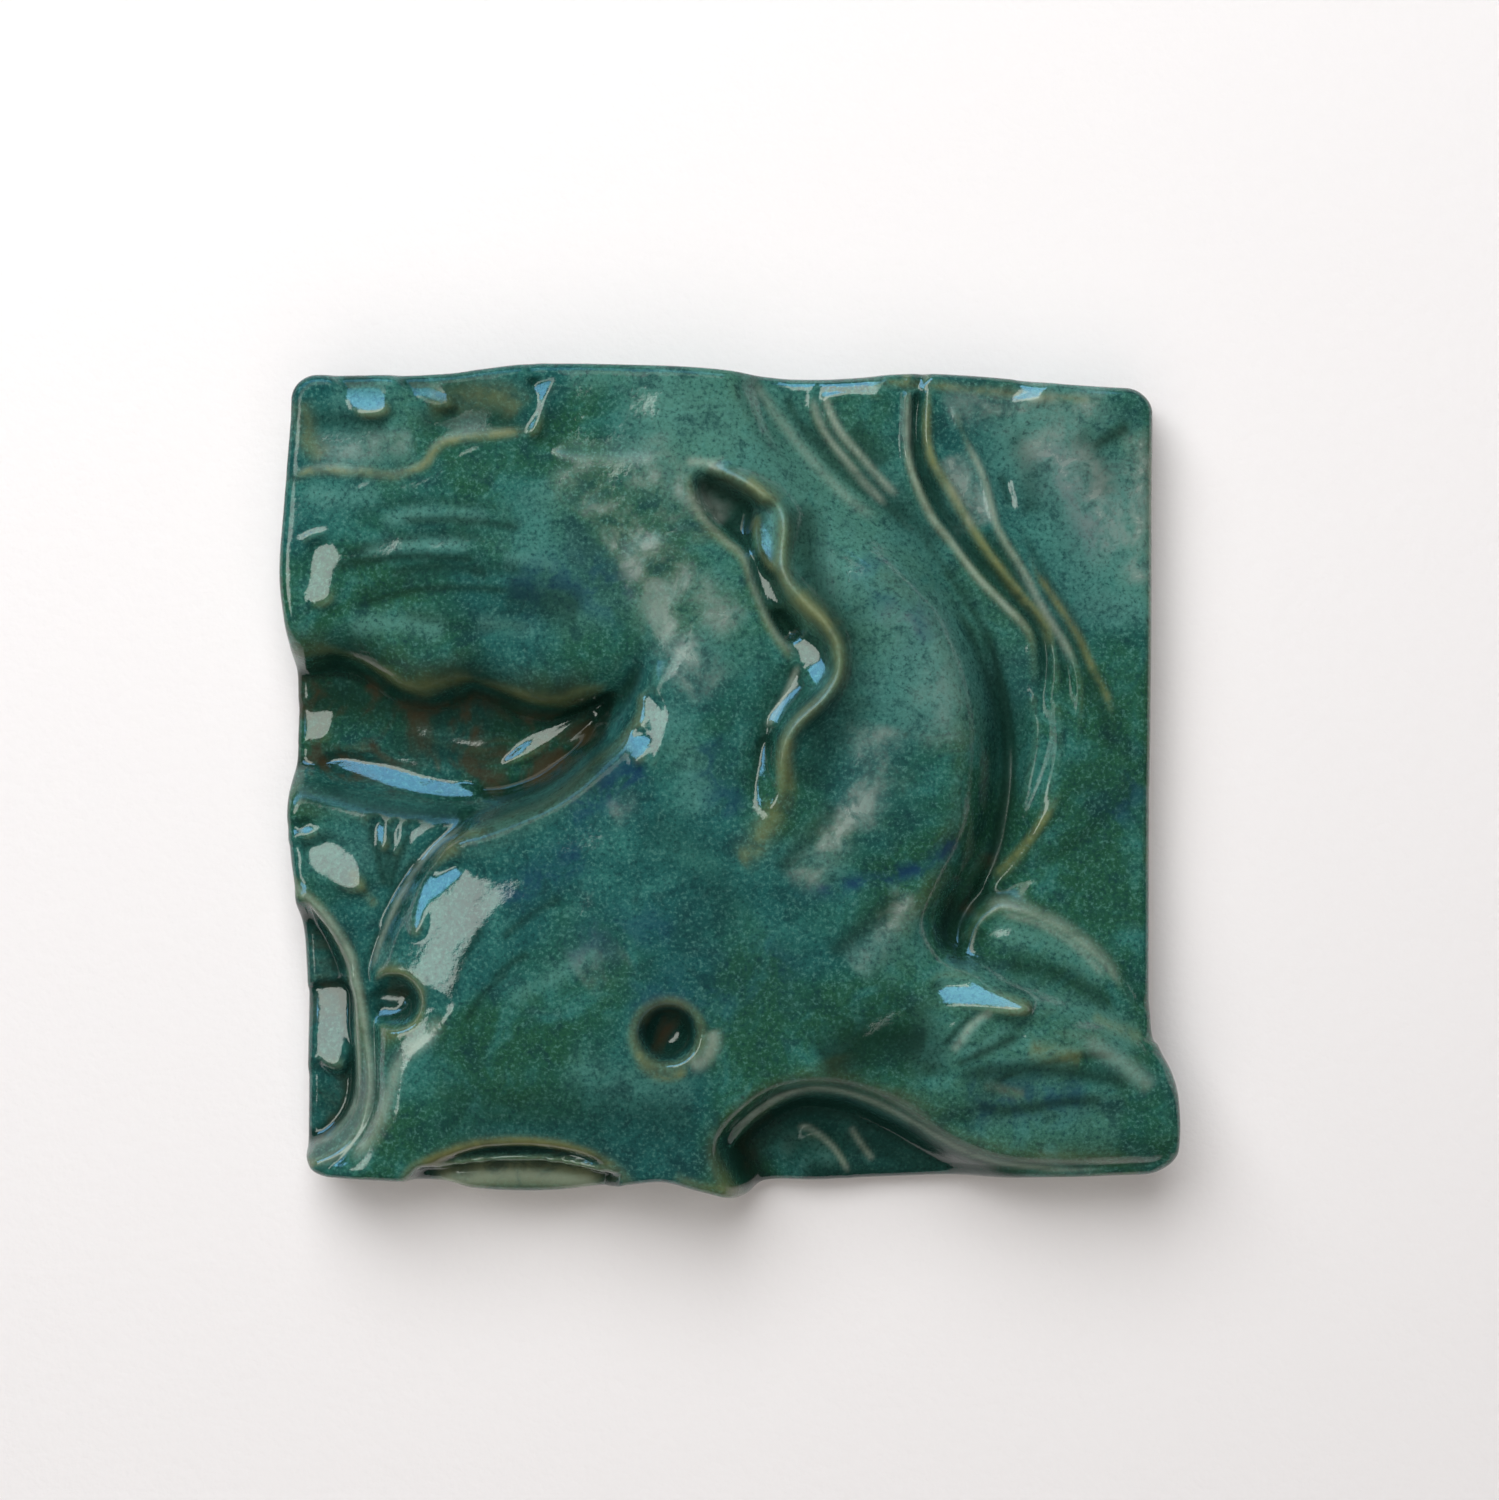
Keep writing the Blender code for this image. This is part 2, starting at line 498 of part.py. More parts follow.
def tile_mesh(clay):
    outline = Outline()
    bm = bmesh.new()
    bmesh.ops.create_grid(bm, x_segments=GRID_ACROSS, y_segments=GRID_UP, size=1)
    square = bm.verts.layers.float_vector.new("square")
    for vert in bm.verts:
        vert[square] = vert.co
        x, y = outline.place(vert.co.x, vert.co.y, RIM_ROUND, 1.0)
        vert.co = (x, y, height_at(clay, x, y))
    for vert in bm.verts:
        if vert.is_boundary:
            vert[square].z = vert.co.z
    ring = [e for e in bm.edges if e.is_boundary]

    # The rounded rim
    for step in range(1, RIM_STEPS + 1):
        angle = math.pi / 2 * step / RIM_STEPS
        ring, verts = extrude_ring(bm, ring)
        for vert in verts:
            across, up, top = vert[square]
            x, y = outline.place(across, up, RIM_ROUND * (1 - math.sin(angle)), 1.0)
            vert.co = (x, y, top - RIM_ROUND * (1 - math.cos(angle)))

    # The side, drawn in from the uneven rim to the straighter back
    for step in range(1, SIDE_STEPS + 1):
        share = step / SIDE_STEPS
        ring, verts = extrude_ring(bm, ring)
        for vert in verts:
            across, up, top = vert[square]
            z = (top - RIM_ROUND) * (1 - share) + BACK_BEVEL * share
            x, y = outline.place(across, up, FOOT_INSET * share, 1 - share)
            vert.co = (x, y, z)

    # The bevel around the flat back, and the back itself
    ring, verts = extrude_ring(bm, ring)
    for vert in verts:
        across, up, _ = vert[square]
        x, y = outline.place(across, up, FOOT_INSET + BACK_BEVEL, 0.0)
        vert.co = (x, y, 0)
    bmesh.ops.contextual_create(bm, geom=ring)
    bmesh.ops.recalc_face_normals(bm, faces=bm.faces)

    mesh = bpy.data.meshes.new(TILE_NAME)
    bm.to_mesh(mesh)
    bm.free()
    mesh.shade_smooth()
    return mesh


def build():
    for obj in list(bpy.data.objects):
        bpy.data.objects.remove(obj, do_unlink=True)
    parts = bpy.data.collections.new(TILE_NAME)
    bpy.context.scene.collection.children.link(parts)

    mesh = tile_mesh(carved_sheet())
    mesh.materials.append(glaze_material())
    tile = bpy.data.objects.new(TILE_NAME, mesh)
    parts.objects.link(tile)

    # Fewer triangles where the surface is flat, and the carving kept
    mesh.calc_loop_triangles()
    thin = tile.modifiers.new("fewer_triangles", "DECIMATE")
    thin.ratio = MOST_TRIANGLES / len(mesh.loop_triangles)


build()
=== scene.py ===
import math

import bmesh
import bpy
import numpy as np
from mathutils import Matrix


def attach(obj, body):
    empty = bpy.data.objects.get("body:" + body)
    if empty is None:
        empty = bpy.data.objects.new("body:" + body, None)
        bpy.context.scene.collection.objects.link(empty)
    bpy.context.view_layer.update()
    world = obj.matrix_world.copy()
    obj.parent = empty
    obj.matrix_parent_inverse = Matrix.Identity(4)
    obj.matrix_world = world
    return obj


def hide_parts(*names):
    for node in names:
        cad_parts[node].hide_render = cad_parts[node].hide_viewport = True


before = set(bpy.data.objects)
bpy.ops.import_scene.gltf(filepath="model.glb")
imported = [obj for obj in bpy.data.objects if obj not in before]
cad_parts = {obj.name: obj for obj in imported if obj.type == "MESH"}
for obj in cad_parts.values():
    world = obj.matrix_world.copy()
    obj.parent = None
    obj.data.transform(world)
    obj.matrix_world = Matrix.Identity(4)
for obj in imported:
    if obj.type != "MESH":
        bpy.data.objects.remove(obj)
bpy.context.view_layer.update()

# The clay.
# One slab of stoneware, modelled by hand while soft: a big-headed fish seen from above, its fins
# and tail drawn out to the edges. The relief is drawn on a sheet of 100 by 93.5 units, a hundredth
# of the tile's width each, with heights from the back, and modelled stroke by stroke.

SHEET_WIDTH = 100.0
SHEET_LENGTH = 93.5
SHEET_MARGIN = 5.0
SHEET_STEP = 0.22
GROUND = 9.4


def curve_through(points, closed=False, steps=8):
    """A smooth line through the points, with this many short runs between each two."""
    points = np.array(points, float)
    if closed:
        guide = np.vstack([points[-1], points, points[:2]])
    else:
        guide = np.vstack([2 * points[0] - points[1], points, 2 * points[-1] - points[-2]])
    share = np.arange(steps)[:, None] / steps
    spans = [
        0.5 * (2 * b + (c - a) * share + (2 * a - 5 * b + 4 * c - d) * share**2
               + (3 * b - a - 3 * c + d) * share**3)
        for a, b, c, d in zip(guide, guide[1:], guide[2:], guide[3:])
    ]
    return np.vstack(spans + [guide[-2][None]])


def ease(start, end, value):
    """0 up to the start, 1 from the end on, and a smooth change between them."""
    share = np.clip((value - start) / (end - start), 0, 1)
    return share * share * (3 - 2 * share)


def dome(depth, reach):
    """The rise of a rounded form, from 0 at its outline to 1 where it is this deep inside."""
    share = np.clip(depth / reach, 0, 1)
    return 1 - (1 - share) ** 2


def higher_of(a, b, blend):
    return (a + b + np.sqrt((a - b) ** 2 + blend**2)) / 2


def lower_of(a, b, blend):
    return -higher_of(-a, -b, blend)


def blurred(heights, spread):
    """The heights softened over this many sheet units."""
    spread /= SHEET_STEP
    reach = math.ceil(3 * spread)
    weights = np.exp(-0.5 * (np.arange(-reach, reach + 1) / spread) ** 2)
    weights /= weights.sum()
    for axis in (0, 1):
        rows = np.swapaxes(heights, 0, axis)
        padded = np.pad(rows, ((reach, reach), (0, 0)), "edge")
        rows = sum(w * padded[i:i + len(rows)] for i, w in enumerate(weights))
        heights = np.swapaxes(rows, 0, axis)
    return heights


class Clay:
    """A sheet of clay as heights on a raster, with the strokes that model it."""

    def __init__(self):
        half_width = SHEET_WIDTH / 2 + SHEET_MARGIN
        half_length = SHEET_LENGTH / 2 + SHEET_MARGIN
        self.across = np.arange(-half_width, half_width, SHEET_STEP)
        self.up = np.arange(-half_length, half_length, SHEET_STEP)
        self.x, self.y = np.meshgrid(self.across, self.up)
        self.z = np.full(self.x.shape, GROUND)

    def window(self, path, margin):
        """The rows and columns of the sheet around a path."""
        low = path.min(0) - margin
        high = path.max(0) + margin
        columns = np.searchsorted(self.across, [low[0], high[0]])
        rows = np.searchsorted(self.up, [low[1], high[1]])
        return slice(*rows), slice(*columns)

    def nearest(self, path, where):
        """How far each place is from the path, and at which share of its length."""
        x = self.x[where]
        y = self.y[where]
        gap = np.full(x.shape, np.inf)
        share = np.zeros(x.shape)
        lengths = np.hypot(*np.diff(path, axis=0).T)
        run = np.concatenate([[0], np.cumsum(lengths)]) / lengths.sum()
        for a, b, begin, end in zip(path, path[1:], run, run[1:]):
            step = b - a
            along = ((x - a[0]) * step[0] + (y - a[1]) * step[1]) / max(step @ step, 1e-9)
            along = np.clip(along, 0, 1)
            here = (x - a[0] - along * step[0]) ** 2 + (y - a[1] - along * step[1]) ** 2
            near = here < gap
            gap[near] = here[near]
            share[near] = begin + along[near] * (end - begin)
        return np.sqrt(gap), share

    def depth_inside(self, outline, margin=3.5):
        """How deep each place lies inside a closed outline, negative outside it."""
        path = curve_through(outline, closed=True, steps=6)
        where = self.window(path, margin)
        gap, _ = self.nearest(path, where)
        x = self.x[where]
        y = self.y[where]
        within = np.zeros(x.shape, bool)
        for a, b in zip(path, path[1:]):
            if a[1] != b[1]:
                crossing = a[0] + (y - a[1]) / (b[1] - a[1]) * (b[0] - a[0])
                within ^= ((a[1] > y) != (b[1] > y)) & (x < crossing)
        return where, np.where(within, gap, -gap)

    def bead(self, route, height, half_width, fade=(0.15, 0.25), onto=None):
        """A rounded ridge along a route, fading over these shares of its length."""
        path = curve_through(route)
        where = self.window(path, 3 * half_width)
        gap, share = self.nearest(path, where)
        ends = ease(0, fade[0], share) * ease(0, fade[1], 1 - share)
        target = self.z if onto is None else onto
        target[where] += height * np.exp(-((gap / half_width) ** 2)) * ends

    def crease(self, route, depth, half_width, fade=(0.15, 0.25), onto=None):
        """A rounded groove along a route."""
        self.bead(route, -depth, half_width, fade, onto)

    def swell(self, centre, half_width, half_length, height, turn=0.0, onto=None):
        """A soft mound, or with a negative height a soft dip."""
        cosine = math.cos(math.radians(turn))
        sine = math.sin(math.radians(turn))
        dx = self.x - centre[0]
        dy = self.y - centre[1]
        u = (dx * cosine + dy * sine) / half_width
        v = (dy * cosine - dx * sine) / half_length
        target = self.z if onto is None else onto
        target += height * np.exp(-u * u - v * v)

    def form(self, outline, edge, rounds, drop=2.5, blend=0.8, shape=None):
        """A raised form: the height at its outline, and the rounds on it, as (rise, reach) pairs
        or as a function of how deep inside a place lies."""
        where, depth = self.depth_inside(outline)
        inner = np.clip(depth, 0, None)
        made = np.full(self.z.shape, -1000.0)
        made[where] = edge - drop * np.clip(-depth, 0, None)
        if callable(rounds):
            made[where] += rounds(where, inner)
        else:
            made[where] += sum(rise * dome(inner, reach) for rise, reach in rounds)
        if shape:
            shape(made)
        self.z[where] = higher_of(self.z[where], made[where], blend)

    def facet(self, outline, tilt, facing, soft=0.5, lift=0.0):
        """A flat pressed into the clay: it leans this many degrees, towards this side."""
        target = self.z
        where, depth = self.depth_inside(outline, 2 * soft)
        share = ease(-soft, soft, depth)
        inside = depth > 0
        x = self.x[where] - self.x[where][inside].mean()
        y = self.y[where] - self.y[where][inside].mean()
        towards = x * math.cos(math.radians(facing)) + y * math.sin(math.radians(facing))
        plane = target[where][inside].mean() + lift - math.tan(math.radians(tilt)) * towards
        target[where] += (plane - target[where]) * share

    def smooth(self, outline, spread, soft=2.0):
        """Clay rubbed smooth inside an outline, its steps softened over this many units."""
        where, depth = self.depth_inside(outline, 3 * spread)
        share = ease(-soft, soft, depth)
        self.z[where] += (blurred(self.z[where], spread) - self.z[where]) * share

    def sink(self, outline, floor, reach, wall=6.0, blend=0.9):
        """A hollow with a rounded bottom, its wall this high over this reach."""
        where, depth = self.depth_inside(outline)
        inner = np.clip(depth, 0, None)
        outer = np.clip(-depth, 0, None)
        bowl = floor + wall * (1 - dome(inner, reach)) + 2 * wall / reach * outer
        self.z[where] = lower_of(self.z[where], bowl, blend)

    def cut(self, outline, deep, reach):
        """A steep-sided cut, as deep as this once this far inside its outline."""
        where, depth = self.depth_inside(outline)
        self.z[where] -= deep * ease(0, reach, depth)

    def eye(self, centre, radius, deep, lip, keep=1.0):
        """A round pit pressed in by a tool, with the clay it pushed up around it."""
        gap = np.hypot(self.x - centre[0], self.y - centre[1])
        self.z += keep * lip * np.exp(-((gap - radius - 0.9) ** 2))
        self.z -= keep * deep * np.sqrt(np.clip(1 - (gap / radius) ** 2, 0, 1))


def carve_strands(clay):
    """The ground at the right, with the tail's strands leaning on the body."""
    clay.swell((43.7, 30.2), 8, 14, -0.5, 15)
    clay.swell((47.2, -0.1), 7, 10, -0.4)
    clay.swell((18.1, 40.7), 9, 16, 1.0, 40)
    clay.form([(1.7, 55.8), (27.4, 55.8), (32.1, 40.7), (39.1, 27.9), (44.9, 15.0), (47.8, 2.2),
               (44.9, -9.5), (33.2, -15.9), (26.2, -14.1), (30.3, 6.9), (26.2, 20.9), (16.9, 31.4),
               (7.6, 39.5)],
              8.9, [(2.2, 16.0)], drop=0.3, blend=0.5)

    contour = [(5.0, 52.3), (6.9, 44.3), (10.1, 39.5), (13.8, 35.7), (19.3, 31.6), (23.9, 26.7),
               (28.3, 20.9), (31.1, 15.0), (32.8, 6.9), (32.8, -1.3), (31.5, -8.3), (29.5, -13.5),
               (26.8, -18.2)]
    clay.crease(contour, 0.9, 0.8, (0.3, 0.05))
    clay.crease([(29.7, 18.5), (32.3, 11.5), (33.5, 3.4), (33.0, -4.8), (31.1, -11.2), (28.0, -17.0),
                 (25.6, -19.9)], 2.2, 2.6, (0.4, 0.15))

    ridges = [
        ([(17.8, 51.0), (18.3, 44.1), (18.7, 39.4), (19.2, 34.8)], 0.3, 0.8),
        ([(20.9, 51.0), (21.3, 44.2), (21.2, 38.6), (22.0, 34.9), (24.1, 30.3), (26.2, 27.7),
          (29.3, 23.5), (32.3, 20.3), (34.8, 17.7), (35.6, 15.6), (35.6, 10.3)], 1.0, 0.55),
        ([(23.4, 51.0), (23.4, 44.1), (23.7, 37.9), (26.2, 33.5), (28.6, 29.3), (30.9, 25.9),
          (34.4, 21.4), (37.2, 18.0), (38.1, 15.0), (38.3, 9.2)], 0.8, 0.5),
        ([(26.2, 44.1), (27.9, 39.4), (30.0, 35.2), (31.6, 29.3), (34.4, 24.5), (37.2, 19.4),
          (39.5, 15.6), (40.9, 12.4), (41.3, 8.7), (40.6, 3.4), (38.5, -2.4)], 0.7, 0.5),
        ([(33.1, 32.4), (36.2, 24.2), (39.0, 20.0), (41.3, 16.3), (43.0, 12.4), (44.1, 10.5), (45.1, 7.7),
          (45.5, 4.5)], 0.6, 0.4),
        ([(30.8, -13.5), (34.3, -8.8), (37.9, -3.4), (40.7, 1.0)], 0.55, 0.7),
        ([(30.2, 12.1), (30.3, 5.2), (29.9, -4.0), (27.9, -8.3), (25.6, -12.9), (23.8, -17.1)], 0.5, 0.4),
        ([(35.6, 10.3), (36.2, 5.7), (35.0, -1.3), (32.9, -8.3)], 0.6, 0.7),
        ([(38.5, 9.2), (38.7, 3.4), (36.6, -3.6), (33.1, -10.6)], 0.4, 0.7),
        ([(44.5, 9.2), (46.2, 2.2), (45.7, -3.6), (43.0, -8.3)], 0.35, 0.8),
    ]
    for route, height, half_width in ridges:
        clay.bead(route, height, half_width, (0.05, 0.3))
    grooves = [
        ([(22.4, 47.7), (22.4, 44.8), (22.0, 39.7), (23.8, 33.9), (27.6, 27.7), (31.0, 23.9),
          (34.5, 20.4), (36.6, 17.4), (37.3, 13.9), (36.8, 9.2), (35.6, 4.5)], 1.6, 0.65),
        ([(30.3, 29.0), (33.0, 24.9), (36.3, 20.5), (38.8, 16.2), (39.8, 11.5), (39.3, 6.9)], 0.8, 0.55),
        ([(32.1, 36.0), (34.2, 29.6), (37.7, 23.2), (40.8, 18.5), (42.5, 13.6), (43.4, 9.2)], 0.8, 0.55),
        ([(32.1, -13.3), (37.9, -9.7), (44.3, -5.4), (48.4, -0.1)], 0.5, 1.0),
    ]
    for route, depth, half_width in grooves:
        clay.crease(route, depth, half_width, (0.05, 0.25))


def carve_hollows(clay):
    """The sunk ground: under the left fin, beside the head and under the paddle fin."""
    clay.sink([(-55.9, 15.1), (-44.1, 14.5), (-36.5, 10.4), (-30.0, 11.6), (-21.2, 9.0), (-14.7, 10.4),
               (-12.8, 11.1), (-12.4, 8.7), (-14.3, 4.0), (-18.2, -0.4), (-24.7, -3.2), (-30.9, -3.9),
               (-38.2, -3.4), (-45.3, -2.0), (-50.0, -0.9), (-55.9, -0.6)],
              4.6, 2.6, wall=5.0)
    clay.bead([(-37.8, 6.7), (-33.6, 4.3), (-28.9, 3.4), (-24.2, 4.3)], 0.5, 1.0, (0.3, 0.3))
    clay.sink([(-55.9, -13.1), (-50.1, -13.4), (-46.9, -16.6), (-44.7, -20.7), (-43.8, -24.2),
               (-43.3, -27.8), (-42.8, -32.8), (-42.7, -36.8), (-43.9, -40.1), (-46.5, -42.7),
               (-50.0, -43.6), (-55.9, -43.9)],
              6.4, 1.5, wall=3.0)
    clay.sink([(0.6, -42.8), (2.7, -40.1), (6.4, -37.5), (10.2, -36.5), (13.8, -36.8), (17.6, -38.1),
               (21.4, -40.0), (25.1, -42.2), (28.9, -44.1), (32.6, -45.2), (38.3, -45.8), (45.8, -45.9),
               (49.9, -46.1), (49.9, -54.2), (20.5, -54.2), (4.1, -54.2), (2.0, -48.9), (0.6, -45.4)],
              3.8, 2.4, blend=0.5)


SIDE_STRAND = [(-51.2, -10.9), (-49.7, -12.6), (-46.5, -15.7), (-43.7, -19.8), (-42.7, -23.3),
               (-42.0, -27.2), (-41.3, -32.3), (-41.2, -36.5), (-42.3, -40.6), (-45.1, -43.7),
               (-49.0, -45.1), (-50.7, -45.4)]
INNER_STRAND = [(-43.5, -21.7), (-43.1, -25.8), (-42.8, -31.6), (-42.9, -35.8), (-43.7, -38.8),
                (-46.1, -41.6), (-49.0, -43.0)]


def carve_small_fin(clay):
    """The folded small fin between the left hollow and the head, and the strands beside the head."""
    def fold(made):
        root = (-39.5, -13.9)
        tips = [(-43.7, -4.7), (-41.3, -4.6), (-38.9, -5.0), (-36.7, -5.6), (-34.4, -5.8)]
        for tip, depth in zip(tips, (0.8, 1.3, 1.3, 1.3, 1.0)):
            bend = (root[0] + (tip[0] - root[0]) * 0.35, root[1] + (tip[1] - root[1]) * 0.55)
            clay.crease([root, bend, tip], depth, 0.55, (0.1, 0.25), made)

    clay.form([(-55.5, -0.4), (-49.7, 0.0), (-45.0, -1.1), (-38.0, -2.6), (-32.2, -3.3), (-26.3, -3.2),
               (-30.1, -5.5), (-33.5, -7.9), (-36.3, -10.9), (-38.7, -15.3), (-40.5, -19.5),
               (-41.5, -23.5), (-43.9, -19.3), (-46.7, -15.6), (-49.8, -12.5), (-55.5, -10.9)],
              7.2, [(1.4, 2.2), (0.6, 5.0)], shape=fold)
    clay.smooth([(-52.0, -2.5), (-51.5, 1.3), (-45.0, 0.4), (-38.0, -1.1), (-32.2, -2.0), (-26.3, -2.5),
                 (-28.7, -5.0), (-32.2, -6.0), (-38.0, -5.0), (-45.0, -3.9), (-49.7, -3.9)], 1.3, 1.0)
    clay.facet([(-49.3, -7.0), (-47.5, -6.2), (-44.2, -7.7), (-42.1, -10.2), (-41.7, -12.8),
                (-43.8, -13.3), (-46.8, -11.6), (-48.9, -9.5)], 17, 119)
    clay.facet([(-49.9, -5.5), (-48.5, -4.6), (-46.8, -6.2), (-49.0, -7.2)], 31, 104, 0.3)
    clay.facet([(-41.2, -5.0), (-39.9, -4.7), (-38.7, -6.9), (-39.6, -8.5), (-40.6, -7.4)], 29, 133, 0.2)
    clay.facet([(-38.8, -5.4), (-37.8, -5.0), (-37.4, -7.4), (-38.4, -9.2), (-38.9, -7.7)], 29, 142, 0.2)
    clay.facet([(-37.2, -5.6), (-35.1, -5.1), (-33.5, -5.6), (-35.1, -6.9), (-36.6, -8.3)], 17, 117, 0.2)
    clay.crease([(-40.9, -22.9), (-39.8, -18.5), (-37.6, -14.1), (-35.2, -10.0), (-32.1, -6.9),
                 (-28.6, -4.6)], 1.0, 0.6, (0.1, 0.25))
    clay.facet([(-36.6, -9.7), (-35.8, -10.2), (-37.4, -13.3), (-39.3, -16.6), (-40.9, -18.2),
                (-40.3, -16.1), (-38.5, -12.7)], 17, 134, 0.35)
    clay.bead(SIDE_STRAND, 1.5, 0.8, (0.05, 0.02))
    clay.bead(INNER_STRAND, 0.6, 0.45, (0.05, 0.02))


def carve_body(clay):
    """The body and the broad head, one rounded mass from the top edge to the bottom edge."""
    def muscle(made):
        clay.swell((-14.3, -26.4), 18, 14, 1.1, 10, onto=made)
        clay.swell((20.7, 13.7), 8, 17, 0.6, 10, onto=made)
        clay.swell((7.5, 20.6), 10, 22, -0.8, 8, onto=made)
        jaw = [(-30.8, -25.5), (-31.7, -27.8), (-33.3, -30.3), (-35.8, -32.4), (-37.2, -35.6),
               (-38.6, -39.8), (-41.2, -43.2), (-43.8, -45.5), (-51.3, -48.5), (-53.6, -37.0),
               (-49.0, -26.6), (-39.8, -23.7), (-34.0, -23.7)]
        where, depth = clay.depth_inside(jaw)
        made[where] -= 0.7 * ease(0, 2.8, depth)
        made -= 1.0 * ease(24, 49, clay.y)
        made -= 1.2 * ease(-38, -47, clay.y)
        for route, height, half_width, fade in (
            ([(7.5, -13.5), (14.4, -11.5), (22.8, -9.8), (28.1, -4.1)], -0.3, 0.9, (0.3, 0.3)),
            ([(16.4, 10.3), (13.5, 2.8), (9.8, -5.8), (7.5, -12.1)], -0.8, 2.6, (0.3, 0.3)),
            ([(20.1, -24.2), (16.7, -28.7), (14.4, -33.3)], -0.5, 3.2, (0.2, 0.3)),
            ([(13.8, -22.4), (19.0, -18.2), (23.0, -13.8), (25.8, -9.5)], 0.5, 2.0, (0.3, 0.3)),
        ):
            clay.bead(route, height, half_width, fade, made)

    def rounds(where, inner):
        x = clay.x[where]
        y = clay.y[where]
        flank = ease(-9, -22, x) * ease(8, 2, y)
        head = ease(-37, -24, y) * ease(-7, -11.5, y)
        reach = 4.4 - 3.0 * ease(-14, -6, y) - 2.4 * ease(-40, -44, y) + 6.1 * head
        share = np.clip(inner / reach, 0, 1)
        low = ease(-26, -33, y)
        steep = (1.9 + 0.6 * low) * dome(inner, 0.27 * reach)
        share += (np.clip(inner / 3.4, 0, 1) - share) * low
        steep += (2.6 - 1.4 * low) * (1 - (1 - share) ** (2 - 0.6 * np.maximum(head, low)))
        shoulder = ease(10, -16, x) * ease(14, 34, y)
        hollow_side = ease(-4, -9, x) * ease(21, 15, y)
        slim = ease(0, 12, x) * ease(20, 34, y)
        plateau = 4.8 - 1.9 * shoulder - 1.7 * slim
        low_side = ease(-29, -35, y) * ease(-6, -2, x)
        rise = 5.0 - 2.0 * shoulder - 3.4 * hollow_side + 5.0 * slim - 3.0 * low_side
        full = plateau * dome(inner, rise)
        joined = ease(13, 19, y) * ease(-2, -9, x)
        full += (plateau - 0.8 * (1 - dome(inner, 12.0)) - full) * joined
        return full + (steep - full) * flank + 1.5 * dome(inner, 24.0)

    left_side = [(-23.8, 61.5), (-22.1, 51.0), (-21.2, 44.1), (-20.1, 39.4), (-15.7, 27.8), (-9.9, 16.2),
                 (-11.3, 7.8), (-15.5, 2.6), (-20.9, -1.9), (-26.7, -4.2), (-29.9, -5.5), (-33.5, -8.0),
                 (-36.3, -11.3), (-38.7, -15.5), (-40.3, -19.9), (-41.2, -24.0), (-41.0, -30.3),
                 (-40.8, -36.7), (-42.2, -40.8), (-45.0, -44.1), (-49.4, -46.9), (-48.3, -53.6)]
    right_side = [(-2.9, -53.8), (4.7, -52.1), (1.5, -46.2), (0.2, -42.1), (2.3, -39.2), (6.4, -36.5),
                  (12.2, -35.8), (18.1, -37.2), (26.2, -39.8), (33.2, -35.1), (35.0, -28.1),
                  (30.9, -21.7), (26.2, -19.0), (25.6, -15.9), (27.6, -10.9), (30.0, -5.4), (30.9, 2.2),
                  (30.7, 9.2), (28.8, 16.2), (25.8, 22.0), (21.0, 27.3), (16.0, 32.3), (11.7, 36.6),
                  (7.6, 41.3), (4.3, 47.1), (1.7, 55.8), (-0.6, 61.7)]
    clay.form(left_side + right_side, 9.4, rounds, shape=muscle)
    clay.smooth([(-20.7, 39.1), (-17.3, 40.9), (-9.8, 40.3), (-4.0, 38.0), (-4.0, 32.2), (-2.3, 25.3),
                 (-2.3, 18.4), (-4.0, 14.3), (-7.5, 12.6), (-11.5, 14.3), (-14.4, 20.7),
                 (-17.9, 29.9)], 2.4)
    clay.smooth([(-14.6, 16.2), (-9.9, 16.2), (-7.6, 10.4), (-9.9, 3.4), (-15.7, -0.7), (-21.6, -3.9),
                 (-28.6, -6.5), (-29.7, -4.2), (-23.9, -2.5), (-18.1, 0.5), (-14.6, 4.0),
                 (-13.2, 9.2)], 0.9, 1.0)
    clay.smooth([(5.2, 45.2), (12.2, 44.1), (20.3, 34.8), (27.3, 25.5), (30.8, 18.5), (27.3, 18.5),
                 (20.3, 25.5), (12.2, 33.6), (6.4, 40.6)], 1.0, 1.5)
    clay.bead([(-41.0, -23.9), (-40.1, -19.1), (-38.4, -15.0), (-35.9, -10.4), (-33.2, -7.4),
               (-29.8, -5.3), (-26.1, -3.8)], 0.5, 0.4, (0.1, 0.2))
    clay.bead([(20.4, 29.0), (27.4, 20.9), (31.4, 12.8), (32.6, 3.5), (32.0, -5.8),
               (27.4, -15.1)], 0.4, 0.6, (0.3, 0.2))
    for route, height, half_width in (
        ([(11.3, 46.3), (11.7, 43.4), (13.1, 40.6), (15.4, 37.8), (17.9, 35.1), (20.3, 32.8)], 0.4, 0.35),
        ([(10.1, 45.7), (10.3, 42.8), (11.7, 40.0), (14.0, 37.2), (16.6, 34.5), (18.9, 32.1)], 0.4, 0.35),
        ([(10.9, 45.9), (11.0, 43.0), (12.4, 40.2), (14.7, 37.5), (17.3, 34.7),
          (19.6, 32.4)], -0.5, 0.35),
        ([(6.8, 45.7), (8.7, 41.6), (13.7, 36.1), (19.3, 31.4), (23.2, 27.1)], -0.7, 0.7),
    ):
        clay.bead(route, height, half_width, (0.1, 0.2))
    clay.facet([(-10.1, 9.4), (-8.5, 9.9), (-6.9, 7.7), (-6.5, 4.3), (-7.9, 1.5), (-9.2, 2.2),
                (-8.8, 5.7)], 18, 134)
    clay.facet([(-10.9, 4.8), (-9.7, 5.8), (-8.6, 4.3), (-9.1, 2.2), (-10.4, 1.9)], 31, 114, 0.4)


RUFFLE = [(-51.0, 33.9), (-47.9, 35.6), (-42.3, 35.5), (-38.6, 35.2), (-35.8, 35.9), (-34.4, 36.7),
          (-33.4, 38.2), (-31.4, 39.2), (-26.2, 39.9), (-23.6, 40.3), (-21.7, 41.0)]


